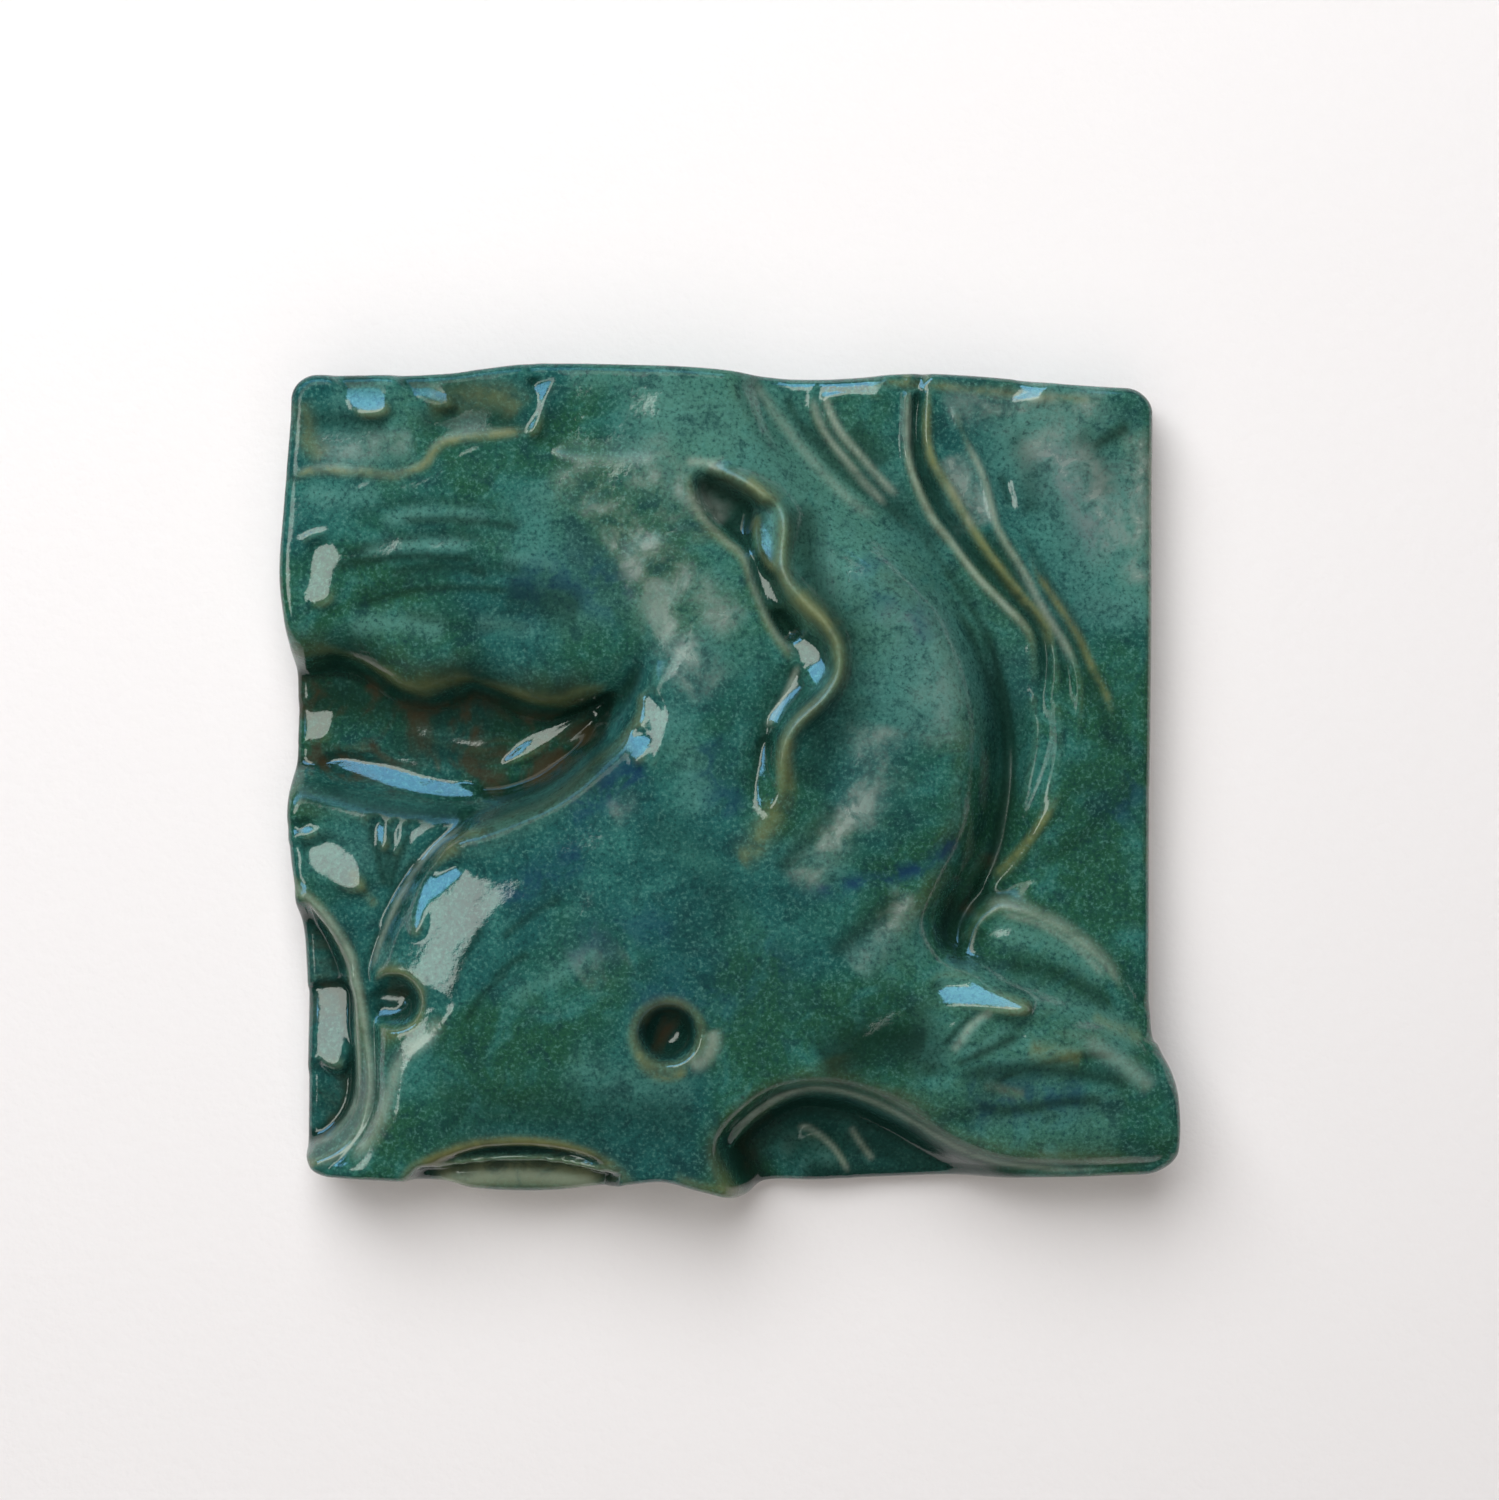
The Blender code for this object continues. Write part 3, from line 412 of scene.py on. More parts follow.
def carve_left_fin(clay):
    """The broad left fin: soft rays, a ruffled upper edge and a lobed lower edge."""
    def ray(made):
        rays = [
            ([(-8.6, 20.7), (-19.0, 27.0), (-28.2, 28.5), (-39.8, 27.4), (-51.9, 25.3)], 0.2),
            ([(-9.8, 18.1), (-19.0, 22.4), (-28.2, 23.9), (-37.5, 21.8), (-50.1, 17.8)], 0.2),
            ([(-10.9, 15.5), (-21.3, 18.1), (-31.7, 18.1), (-42.1, 17.2)], 0.3),
        ]
        for route, depth in rays:
            clay.crease(route, depth, 1.5, (0.3, 0.2), made)
        clay.swell((-29.4, 21.8), 12, 6, 0.6, onto=made)

    root = [(-19.4, 38.5), (-8.6, 37.4), (-0.6, 32.2), (-0.6, 20.7), (-8.1, 13.8)]
    lobes = [(-11.0, 11.3), (-13.9, 10.6), (-17.4, 9.3), (-21.4, 9.2), (-24.7, 10.3), (-28.4, 12.0),
             (-31.7, 11.0), (-34.8, 10.1), (-37.7, 11.3), (-40.6, 13.6), (-43.5, 15.2), (-47.0, 14.7),
             (-50.4, 14.3), (-55.1, 14.4)]

    def rounds(where, inner):
        low = ease(34, 25, clay.y[where])
        by_body = ease(-27, -17, clay.x[where]) * ease(30, 36, clay.y[where])
        return (2.3 - 0.6 * by_body) * dome(inner, 0.9 + 2.9 * low) + 0.6 * dome(inner, 9.0)

    past_edge = [(-56.3, 20.7), (-56.3, 28.8)]
    clay.form(RUFFLE + root + lobes + past_edge, 9.4, rounds, blend=1.2, shape=ray)


def carve_scoops(clay):
    """The ruffled ground above the left fin, with dents pressed in from the top edge."""
    outline = [(-56.6, 54.7), (-40.2, 55.8), (-28.6, 54.7), (-22.7, 51.2), (-21.0, 46.3), (-20.4, 42.4),
               (-22.5, 40.7), (-26.2, 40.6), (-31.5, 39.7), (-33.9, 38.4), (-36.2, 36.7), (-41.4, 36.0),
               (-48.3, 36.0), (-51.4, 34.4), (-56.6, 34.9)]
    where, depth = clay.depth_inside(outline)
    share = ease(-1.6, -0.4, depth)
    ground = 12.2 - 0.15 * ease(1, 6, depth)
    clay.z[where] += (ground - clay.z[where]) * share
    clay.smooth([(-52.6, 36.9), (-47.9, 37.5), (-39.9, 36.9), (-35.8, 38.1), (-34.1, 39.8), (-31.2, 41.1),
                 (-26.0, 41.8), (-22.0, 43.3), (-19.1, 42.1), (-20.2, 38.6), (-26.0, 37.1), (-31.2, 36.7),
                 (-33.5, 34.6), (-37.6, 33.2), (-47.9, 33.2), (-52.6, 31.7)], 0.9, 1.2)
    clay.bead(RUFFLE, 0.25, 0.6, (0.1, 0.15))
    clay.swell((-31.4, 42.9), 4.2, 2.2, -0.9, -15)
    clay.smooth([(-25.5, 46.5), (-22.6, 47.4), (-17.4, 46.9), (-17.4, 39.3), (-22.6, 38.7),
                 (-24.9, 40.5)], 1.2)
    clay.swell((-44.2, 40.8), 5.0, 1.6, -0.3)
    clay.swell((-25.6, 44.7), 2.0, 3.0, 0.4)
    for outline, tilt, facing in (
        ([(-44.4, 46.5), (-40.7, 46.5), (-38.6, 42.4), (-42.4, 41.9)], 26, 110),
        ([(-37.6, 46.4), (-34.8, 46.4), (-32.4, 45.0), (-31.2, 43.1), (-33.1, 42.7), (-35.0, 43.8),
          (-36.6, 45.0)], 26, 112),
        ([(-22.7, 46.3), (-19.5, 46.3), (-20.3, 43.8), (-21.3, 40.1), (-22.9, 39.9),
          (-21.9, 43.5)], 27, 145),
        ([(-31.2, 37.7), (-29.2, 38.8), (-27.2, 39.2), (-28.6, 37.8), (-30.6, 37.4)], 27, 112),
        ([(-43.1, 34.1), (-41.5, 34.8), (-39.8, 34.5), (-41.5, 33.6)], 27, 109),
        ([(-49.3, 28.1), (-48.0, 29.3), (-46.0, 29.4), (-46.5, 27.9), (-48.2, 27.3)], 28, 107),
        ([(-48.1, 27.0), (-45.4, 27.1), (-44.9, 20.7), (-48.0, 20.3)], 14, 127),
    ):
        clay.facet(outline, tilt, facing, 0.35)


def carve_back_fin(clay):
    """The wavy back fin: a ridge that swings twice, and the trough on its left."""
    clay.cut([(-4.0, 35.2), (-2.6, 35.9), (0.4, 35.0), (3.6, 33.1), (4.8, 30.8), (4.3, 28.1), (4.5, 25.3),
              (5.8, 22.1), (8.3, 19.1), (10.1, 16.5), (10.4, 14.3), (9.0, 13.3), (7.5, 14.2), (5.4, 16.5),
              (3.1, 21.2), (1.9, 25.3), (-0.1, 27.2), (-2.4, 29.4), (-4.0, 32.6)],
             3.6, 2.4)
    clay.crease([(9.0, 13.7), (7.0, 10.3), (5.0, 6.8), (4.2, 3.4), (3.6, -1.2),
                 (2.7, -4.1)], 1.4, 1.6, (0.1, 0.25))
    crest = [(-2.8, 35.6), (0.0, 35.1), (3.1, 33.6), (5.4, 31.6), (6.6, 28.9), (6.3, 25.6), (7.1, 22.8),
             (9.1, 20.3), (11.5, 17.8), (13.0, 15.0), (12.7, 11.6), (11.1, 9.0), (8.5, 6.6), (6.8, 3.9),
             (6.5, 0.2), (6.2, -2.6), (5.0, -5.3), (3.1, -8.1)]
    clay.bead(crest, 2.5, 1.15, (0.12, 0.3))
    clay.bead([(0.6, 33.6), (4.3, 32.0), (7.5, 28.8), (8.1, 25.6), (9.2, 21.7), (12.1, 18.0),
               (14.3, 14.8), (14.3, 10.8), (12.1, 7.7), (9.0, 3.9), (8.3, -1.2)], 0.9, 2.4, (0.2, 0.3))
    clay.bead([(-0.3, 27.4), (2.1, 25.7), (3.7, 21.2), (5.8, 16.8), (8.3, 13.7)], 0.4, 0.4, (0.15, 0.1))
    for outline, tilt, facing in (
        ([(3.0, 29.6), (3.8, 31.2), (5.4, 31.7), (6.4, 30.5), (6.4, 27.3), (5.8, 23.8), (4.5, 24.3),
          (3.4, 26.6)], 31, 156),
        ([(3.5, 25.5), (4.6, 24.1), (5.9, 22.9), (6.8, 19.9), (5.7, 19.4), (4.3, 21.3),
          (3.3, 23.4)], 18, 157),
        ([(7.5, 16.0), (8.9, 16.6), (10.4, 16.0), (11.6, 14.3), (11.5, 13.3), (9.6, 12.8),
          (8.1, 13.7)], 19, 141),
        ([(9.1, 12.9), (10.7, 13.4), (12.2, 13.3), (12.0, 11.7), (10.0, 10.8)], 31, 138),
        ([(4.9, 6.8), (6.2, 9.0), (8.7, 11.0), (9.1, 10.3), (7.4, 8.1), (5.9, 6.2)], 31, 132),
        ([(3.8, 4.1), (5.3, 4.4), (5.4, 0.5), (6.0, -3.1), (4.6, -3.3), (3.8, -0.1)], 32, 148),
    ):
        clay.facet(outline, tilt, facing, 0.4)


def carve_right_fin(clay):
    """The right fin: a thin lobe above, and the thick paddle that reaches past the corner."""
    clay.form([(25.0, -29.2), (27.1, -22.8), (28.0, -18.1), (29.4, -15.8), (30.6, -14.7), (32.3, -14.0),
               (36.0, -15.0), (39.8, -16.9), (43.5, -19.8), (47.1, -24.3), (49.4, -28.6), (50.3, -34.4),
               (32.0, -35.0), (20.3, -30.3)],
              9.9, [(0.5, 0.9), (1.2, 14.0)], blend=0.5)
    clay.crease([(27.8, -18.0), (34.1, -16.9), (39.9, -19.2), (44.5, -23.8)], 0.3, 0.9)

    def ray(made):
        rays = [
            ([(21.9, -32.5), (29.9, -30.2), (37.4, -27.9), (44.9, -27.7)], 0.5, 0.9),
            ([(25.3, -37.5), (32.8, -35.2), (40.9, -33.7), (52.4, -34.0)], 0.4, 1.5),
            ([(20.2, -34.6), (27.1, -39.2), (37.4, -39.0), (51.8, -37.8)], 0.6, 1.6),
            ([(25.9, -26.8), (31.7, -27.7), (38.6, -30.6), (48.9, -31.1)], 0.3, 1.2),
            ([(24.2, -28.8), (27.1, -27.1), (31.7, -26.3)], 0.3, 0.5),
        ]
        for route, depth, half_width in rays:
            clay.crease(route, depth, half_width, (0.25, 0.15), made)
        clay.swell((40.9, -30.0), 8, 3.0, 0.4, -25, onto=made)
        made -= 0.8 * ease(30, 50, clay.x)

    def rounds(where, inner):
        below = -34.2 - clay.y[where] - 0.28 * (clay.x[where] - 20.3)
        reach = 5.0 - 3.4 * ease(-1, 5, below)
        return 3.4 * dome(inner, reach) + 2.2 * dome(inner, 12.0)

    clay.form([(8.7, -30.3), (14.5, -25.6), (20.9, -22.1), (25.5, -20.5), (30.2, -21.0), (36.0, -23.1),
               (43.4, -26.0), (48.1, -28.8), (51.0, -30.8), (56.8, -33.7), (57.6, -39.5), (56.8, -45.1),
               (50.5, -45.2), (45.2, -45.1), (37.8, -45.0), (32.2, -44.4), (28.5, -43.2), (24.8, -41.4),
               (21.1, -39.2), (17.4, -37.3), (13.7, -36.1), (10.1, -35.5), (7.5, -34.3)],
              10.4, rounds, blend=1.6, shape=ray)
    clay.facet([(23.6, -24.0), (25.3, -23.0), (28.8, -23.3), (31.7, -24.1), (34.9, -25.6), (34.4, -26.9),
                (30.7, -26.8), (26.5, -26.1), (24.5, -25.2)], 34, 96, 0.35, lift=0.35)
    for outline, tilt, facing in (
        ([(23.5, -32.2), (24.3, -31.2), (25.1, -31.5), (24.3, -32.4)], 35, 103),
        ([(26.8, -29.9), (27.8, -28.9), (28.7, -29.2), (27.8, -30.1)], 35, 104),
        ([(34.0, -28.7), (35.1, -27.8), (36.3, -28.0), (35.1, -28.9)], 35, 106),
        ([(31.8, -29.9), (32.6, -28.9), (33.4, -29.2), (32.6, -30.1)], 35, 105),
        ([(25.5, -28.3), (26.1, -27.3), (26.8, -27.6), (26.1, -28.5)], 35, 104),
    ):
        clay.facet(outline, tilt, facing, 0.2, lift=0.1)

    clay.swell((10.2, -44.2), 3.9, 3.4, 1.1, 20)
    clay.bead([(8.8, -41.8), (11.3, -42.1), (13.2, -43.9), (14.9, -46.8)], 0.7, 0.5)
    clay.bead([(14.7, -40.9), (15.8, -42.7), (17.5, -45.1)], 0.6, 0.4)


def carve_low_facets(clay):
    """The flats that were pressed into the hollow, the side panel and its strands."""
    for outline, tilt, facing in (
        ([(10.8, 45.7), (12.8, 46.0), (17.1, 45.2), (17.8, 44.1), (14.5, 44.3), (11.3, 43.7)], 28, 105),
        ([(20.9, 45.7), (24.4, 45.7), (24.4, 44.9), (20.9, 44.9)], 28, 102),
        ([(32.9, 45.2), (35.5, 45.7), (37.3, 45.2), (36.9, 43.8), (33.4, 43.8)], 29, 111),
        ([(-47.4, 2.5), (-44.7, 3.1), (-38.2, 1.7), (-31.2, -0.3), (-29.1, -1.3), (-29.3, -2.4),
          (-34.7, -2.0), (-41.8, -0.4), (-47.4, 1.3)], 31, 88),
        ([(-42.0, 3.1), (-38.2, 3.0), (-33.5, 1.6), (-31.2, 0.2), (-34.7, 0.6), (-38.8, 1.8)], 18, 92),
        ([(-50.5, 8.1), (-46.5, 8.3), (-46.1, 5.1), (-47.9, 4.0), (-50.3, 4.3)], 15, 122),
        ([(-50.0, 3.8), (-48.5, 3.8), (-49.0, 3.0), (-50.0, 3.1)], 30, 104),
        ([(-49.1, -24.5), (-44.0, -24.2), (-43.7, -29.5), (-44.6, -33.9), (-47.3, -33.4),
          (-48.7, -30.6)], 18, 116),
        ([(-26.1, 2.0), (-23.0, 4.8), (-19.5, 7.3), (-14.2, 9.6), (-14.6, 8.3), (-17.7, 5.6),
          (-21.1, 3.3), (-24.6, 1.7)], 17, 116),
        ([(-21.6, 2.9), (-19.3, 4.5), (-16.4, 6.9), (-15.6, 6.6), (-17.2, 4.5), (-19.8, 3.1)], 30, 118),
    ):
        clay.facet(outline, tilt, facing, 0.35)


def carve_face(clay):
    """The mouth, a slit above a low lip at the bottom edge, and the two eye pits."""
    lip = [(-36.0, -45.9), (-33.4, -45.1), (-30.0, -44.5), (-24.7, -44.1), (-21.0, -44.2), (-17.5, -44.7),
           (-14.1, -45.5), (-12.0, -46.4), (-13.2, -52.6), (-34.4, -52.6)]
    where, depth = clay.depth_inside(lip)
    step = 8.4 + 1.1 * dome(np.clip(depth, 0, None), 1.8) - 1.5 * ease(1.6, 4.5, depth)
    clay.z[where] = np.where(depth > 0, lower_of(clay.z[where], step, 0.3), clay.z[where])
    clay.cut([(-35.4, -45.1), (-31.9, -43.5), (-28.1, -42.4), (-24.6, -42.1), (-21.2, -42.2),
              (-17.4, -42.8), (-14.7, -43.8), (-13.1, -45.0), (-17.4, -44.2), (-21.2, -43.7),
              (-24.6, -43.6), (-29.8, -44.1), (-33.0, -44.8)],
             4.0, 0.8)
    clay.facet([(-36.4, -17.6), (-35.7, -13.9), (-34.0, -11.2), (-31.1, -9.5), (-30.1, -10.1),
                (-32.2, -12.2), (-33.9, -14.6), (-34.9, -17.8)], 30, 137, 0.35)
    clay.eye((-6.5, -29.1), 3.3, 4.2, 0.3)
    behind_contour = ease(-41.2, -40.0, clay.x)
    clay.eye((-38.2, -25.6), 3.1, 3.0, 0.12, behind_contour)
    clay.facet([(-40.9, -24.8), (-37.7, -24.6), (-36.6, -25.4), (-37.1, -26.3),
                (-40.7, -26.2)], 19, 119, 0.3)
    clay.facet([(-40.5, -26.8), (-37.7, -26.5), (-38.1, -27.7), (-40.0, -28.1)], 33, 105, 0.3)


clay = Clay()
for carve in (carve_strands, carve_hollows, carve_small_fin, carve_body, carve_left_fin,
              carve_scoops, carve_back_fin, carve_right_fin, carve_low_facets, carve_face):
    carve(clay)

# Fingers and sponge leave broad, shallow dents all over, and the glaze fills the sharpest corners
DENTS = ((1.3, 0.045), (2.6, 0.06))
GLAZE_FILL = 0.28
pressed = np.random.default_rng(7).standard_normal(clay.z.shape)
for breadth, depth in DENTS:
    soft = blurred(pressed, breadth)
    clay.z += depth * soft / soft.std()
clay.z = blurred(clay.z, GLAZE_FILL)

# The slab that the sheet lies on, in metres, and the heights on the sheet that it spans.
TILE = "fish_relief_tile"
WIDTH = 0.100
LENGTH = 0.0935
SLAB = 0.0038
RELIEF = 0.0136
SHEET_LOW = 3.8
SHEET_HIGH = 17.4
CORNER_RADIUS = 0.0030
RIM_ROUND = 0.0015
BACK_BEVEL = 0.0006
FOOT_INSET = 0.0004

# The fine surface stays just inside the solid's box
FIT = 0.999
HIGHEST = 0.0184

# How far the clay stands out from straight along each edge, as (place along it, distance)
LEFT_EDGE = [(-47, -0.8), (-33, -0.9), (-21, -0.6), (-14, 0.1), (-5, 1.2), (4, 0.6), (14, 0.7),
             (18.5, 1.2), (24, 1.7), (32, 1.2), (41, 0.5), (47, 0.3)]
RIGHT_EDGE = [(-47, 1.9), (-43, 2.5), (-37, 2.4), (-34, 1.8), (-31, 0.4), (-28, -0.4), (-10, -0.4),
              (20, -0.1), (47, 0.0)]
TOP_EDGE = [(-50, 0.2), (-34, 0.3), (-28, 0.9), (-21, 1.6), (-9, 1.3), (-3, 1.0), (3, 0.4), (9, -0.1),
            (15, 0.0), (22, 0.5), (30, 0.3), (38, -0.4), (50, -1.2)]
BOTTOM_EDGE = [(-50, -0.5), (-40, -0.2), (-33, 0.2), (-29, 1.1), (-22, 1.4), (-15, 0.8), (-11, 0.1),
               (-7, -0.2), (-3, 0.9), (2, 2.0), (5, 0.8), (12, 0.7), (25, 0.2), (36, -0.3), (50, -0.9)]
EDGE_REACH = 12.0


def sheet_place(x, y):
    """Where tile places in metres lie on the sheet's raster, in rows and columns."""
    column = (x / WIDTH * SHEET_WIDTH - clay.across[0]) / SHEET_STEP
    row = (y / LENGTH * SHEET_LENGTH - clay.up[0]) / SHEET_STEP
    return np.clip(column, 0, len(clay.across) - 1.001), np.clip(row, 0, len(clay.up) - 1.001)


def read_sheet(values, x, y):
    """The raster's values at tile places, blended between its cells."""
    column, row = sheet_place(np.asarray(x, float), np.asarray(y, float))
    i = column.astype(int)
    j = row.astype(int)
    u = column - i
    v = row - j
    lower = values[j, i] * (1 - u) + values[j, i + 1] * u
    upper = values[j + 1, i] * (1 - u) + values[j + 1, i + 1] * u
    return lower * (1 - v) + upper * v


def stand_out(edge):
    """A smooth curve of how far the clay stands out along an edge, to read values from."""
    places, distances = curve_through(edge).T
    return lambda place: np.interp(place, places, distances)


edges = {name: stand_out(edge) for name, edge in (
    ("left", LEFT_EDGE), ("right", RIGHT_EDGE), ("top", TOP_EDGE), ("bottom", BOTTOM_EDGE))}


def tile_place(across, up, inset, level):
    """Where places of the unit square lie on the tile, this far inside its outline. The edges
    are uneven at level 1, the relief, and nearly straight at level 0, the back."""
    half_width = WIDTH / 2 - inset
    half_length = LENGTH / 2 - inset
    radius = max(CORNER_RADIUS - inset, CORNER_RADIUS / 8)
    x = np.abs(across) * half_width
    y = np.abs(up) * half_length
    s = (x - half_width + radius) / radius
    t = (y - half_length + radius) / radius
    corner = (s > 0) & (t > 0)
    s = np.where(corner, s, 0)
    t = np.where(corner, t, 0)
    x = np.where(corner, half_width - radius + radius * s * np.sqrt(1 - t * t / 2), x)
    y = np.where(corner, half_length - radius + radius * t * np.sqrt(1 - s * s / 2), y)
    x = np.copysign(x, across)
    y = np.copysign(y, up)

    def shift(side, along, outward, end):
        edge = edges[side]
        straight = (edge(-end) + edge(end)) / 2
        uneven = straight + (edge(along) - straight) * level
        return uneven * ease(end - EDGE_REACH, end, outward)

    drawn_x = x / WIDTH * SHEET_WIDTH
    drawn_y = y / LENGTH * SHEET_LENGTH
    side_x = SHEET_WIDTH / 2
    side_y = SHEET_LENGTH / 2
    right = shift("right", drawn_y, drawn_x, side_x)
    left = shift("left", drawn_y, -drawn_x, side_x)
    top = shift("top", drawn_x, drawn_y, side_y)
    bottom = shift("bottom", drawn_x, -drawn_y, side_y)
    x = x + (right - left) / SHEET_WIDTH * WIDTH
    y = y + (top - bottom) / SHEET_LENGTH * LENGTH
    return x * FIT, y * FIT


GRID_ACROSS = 290
GRID_UP = 276
RIM_STEPS = 5
SIDE_STEPS = 6


def add_object(name, data):
    """A new object in the scene."""
    made = bpy.data.objects.new(name, data)
    bpy.context.scene.collection.objects.link(made)
    return made


def extrude_ring(bm, ring):
    """Extrudes the open boundary and returns its new edges and vertices."""
    made = bmesh.ops.extrude_edge_only(bm, edges=ring)["geom"]
    verts = [v for v in made if isinstance(v, bmesh.types.BMVert)]
    fresh = set(verts)
    edges = [e for e in made if isinstance(e, bmesh.types.BMEdge)]
    return [e for e in edges if fresh.issuperset(e.verts)], verts


def set_ring(verts, x, y, z):
    for vert, place in zip(verts, zip(x, y, z)):
        vert.co = place


bm = bmesh.new()
bmesh.ops.create_grid(bm, x_segments=GRID_ACROSS, y_segments=GRID_UP, size=1)
square = bm.verts.layers.float_vector.new("square")
bm.verts.ensure_lookup_table()
across, up, _ = np.array([v.co for v in bm.verts]).T
x, y = tile_place(across, up, RIM_ROUND, 1.0)
z = SLAB + RELIEF * (read_sheet(clay.z, x, y) - SHEET_LOW) / (SHEET_HIGH - SHEET_LOW)
z = np.minimum(z, HIGHEST)
for vert, a, b, place in zip(bm.verts, across, up, zip(x, y, z)):
    vert.co = place
    vert[square] = (a, b, place[2])
ring = [e for e in bm.edges if e.is_boundary]

rings = []
for step in range(1, RIM_STEPS + 1):
    angle = math.pi / 2 * step / RIM_STEPS
    rings.append((RIM_ROUND * (1 - math.sin(angle)), 1.0, RIM_ROUND * (1 - math.cos(angle)), 0.0))
for step in range(1, SIDE_STEPS + 1):
    share = step / SIDE_STEPS
    rings.append((FOOT_INSET * share, 1 - share, RIM_ROUND, share))
for inset, level, down, share in rings:
    ring, verts = extrude_ring(bm, ring)
    across, up, top = np.array([v[square] for v in verts]).T
    x, y = tile_place(across, up, inset, level)
    z = (top - down) * (1 - share) + BACK_BEVEL * share
    set_ring(verts, x, y, z)
ring, verts = extrude_ring(bm, ring)
across, up, _ = np.array([v[square] for v in verts]).T
x, y = tile_place(across, up, FOOT_INSET + BACK_BEVEL, 0.0)
set_ring(verts, x, y, np.zeros(len(verts)))
back = bmesh.ops.contextual_create(bm, geom=ring)["faces"]
bmesh.ops.recalc_face_normals(bm, faces=bm.faces)
for face in bm.faces:
    face.smooth = True
    face.material_index = 1 if max(v.co.z for v in face.verts) < 1.5 * BACK_BEVEL else 0
for face in back:
    face.smooth = False
tile_mesh = bpy.data.meshes.new("tile")
bm.to_mesh(tile_mesh)
bm.free()
tile = add_object("glazed_tile", tile_mesh)

# How far each place stands out from the clay close around it, and from a broader round
FINE_ROUND = 0.9
BROAD_ROUND = 2.6
fine = clay.z - blurred(clay.z, FINE_ROUND)
broad = clay.z - blurred(clay.z, BROAD_ROUND)
places = np.empty(len(tile_mesh.vertices) * 3)
tile_mesh.vertices.foreach_get("co", places)
x, y, z = places.reshape(-1, 3).T

BRUSH_FADE = 0.12


def brushed(strokes):
    """Soft brush strokes over the sheet, as (half width, strength, route)."""
    paint = np.zeros(clay.z.shape)
    for half_width, strength, route in strokes:
        path = curve_through(route)
        where = clay.window(path, 3 * half_width)
        gap, share = clay.nearest(path, where)
        ends = ease(0, BRUSH_FADE, share) * ease(0, BRUSH_FADE, 1 - share)
        stroke = strength * np.exp(-((gap / half_width) ** 2)) * ends
        paint[where] = np.maximum(paint[where], stroke)
    return paint


def give(name, values):
    """Keeps the sheet's values on the tile's mesh, as a layer for the glaze to read."""
    layer = tile_mesh.attributes.new(name, "FLOAT", "POINT")
    layer.data.foreach_set("value", np.clip(read_sheet(values, x, y), 0, 1).astype(np.float32))


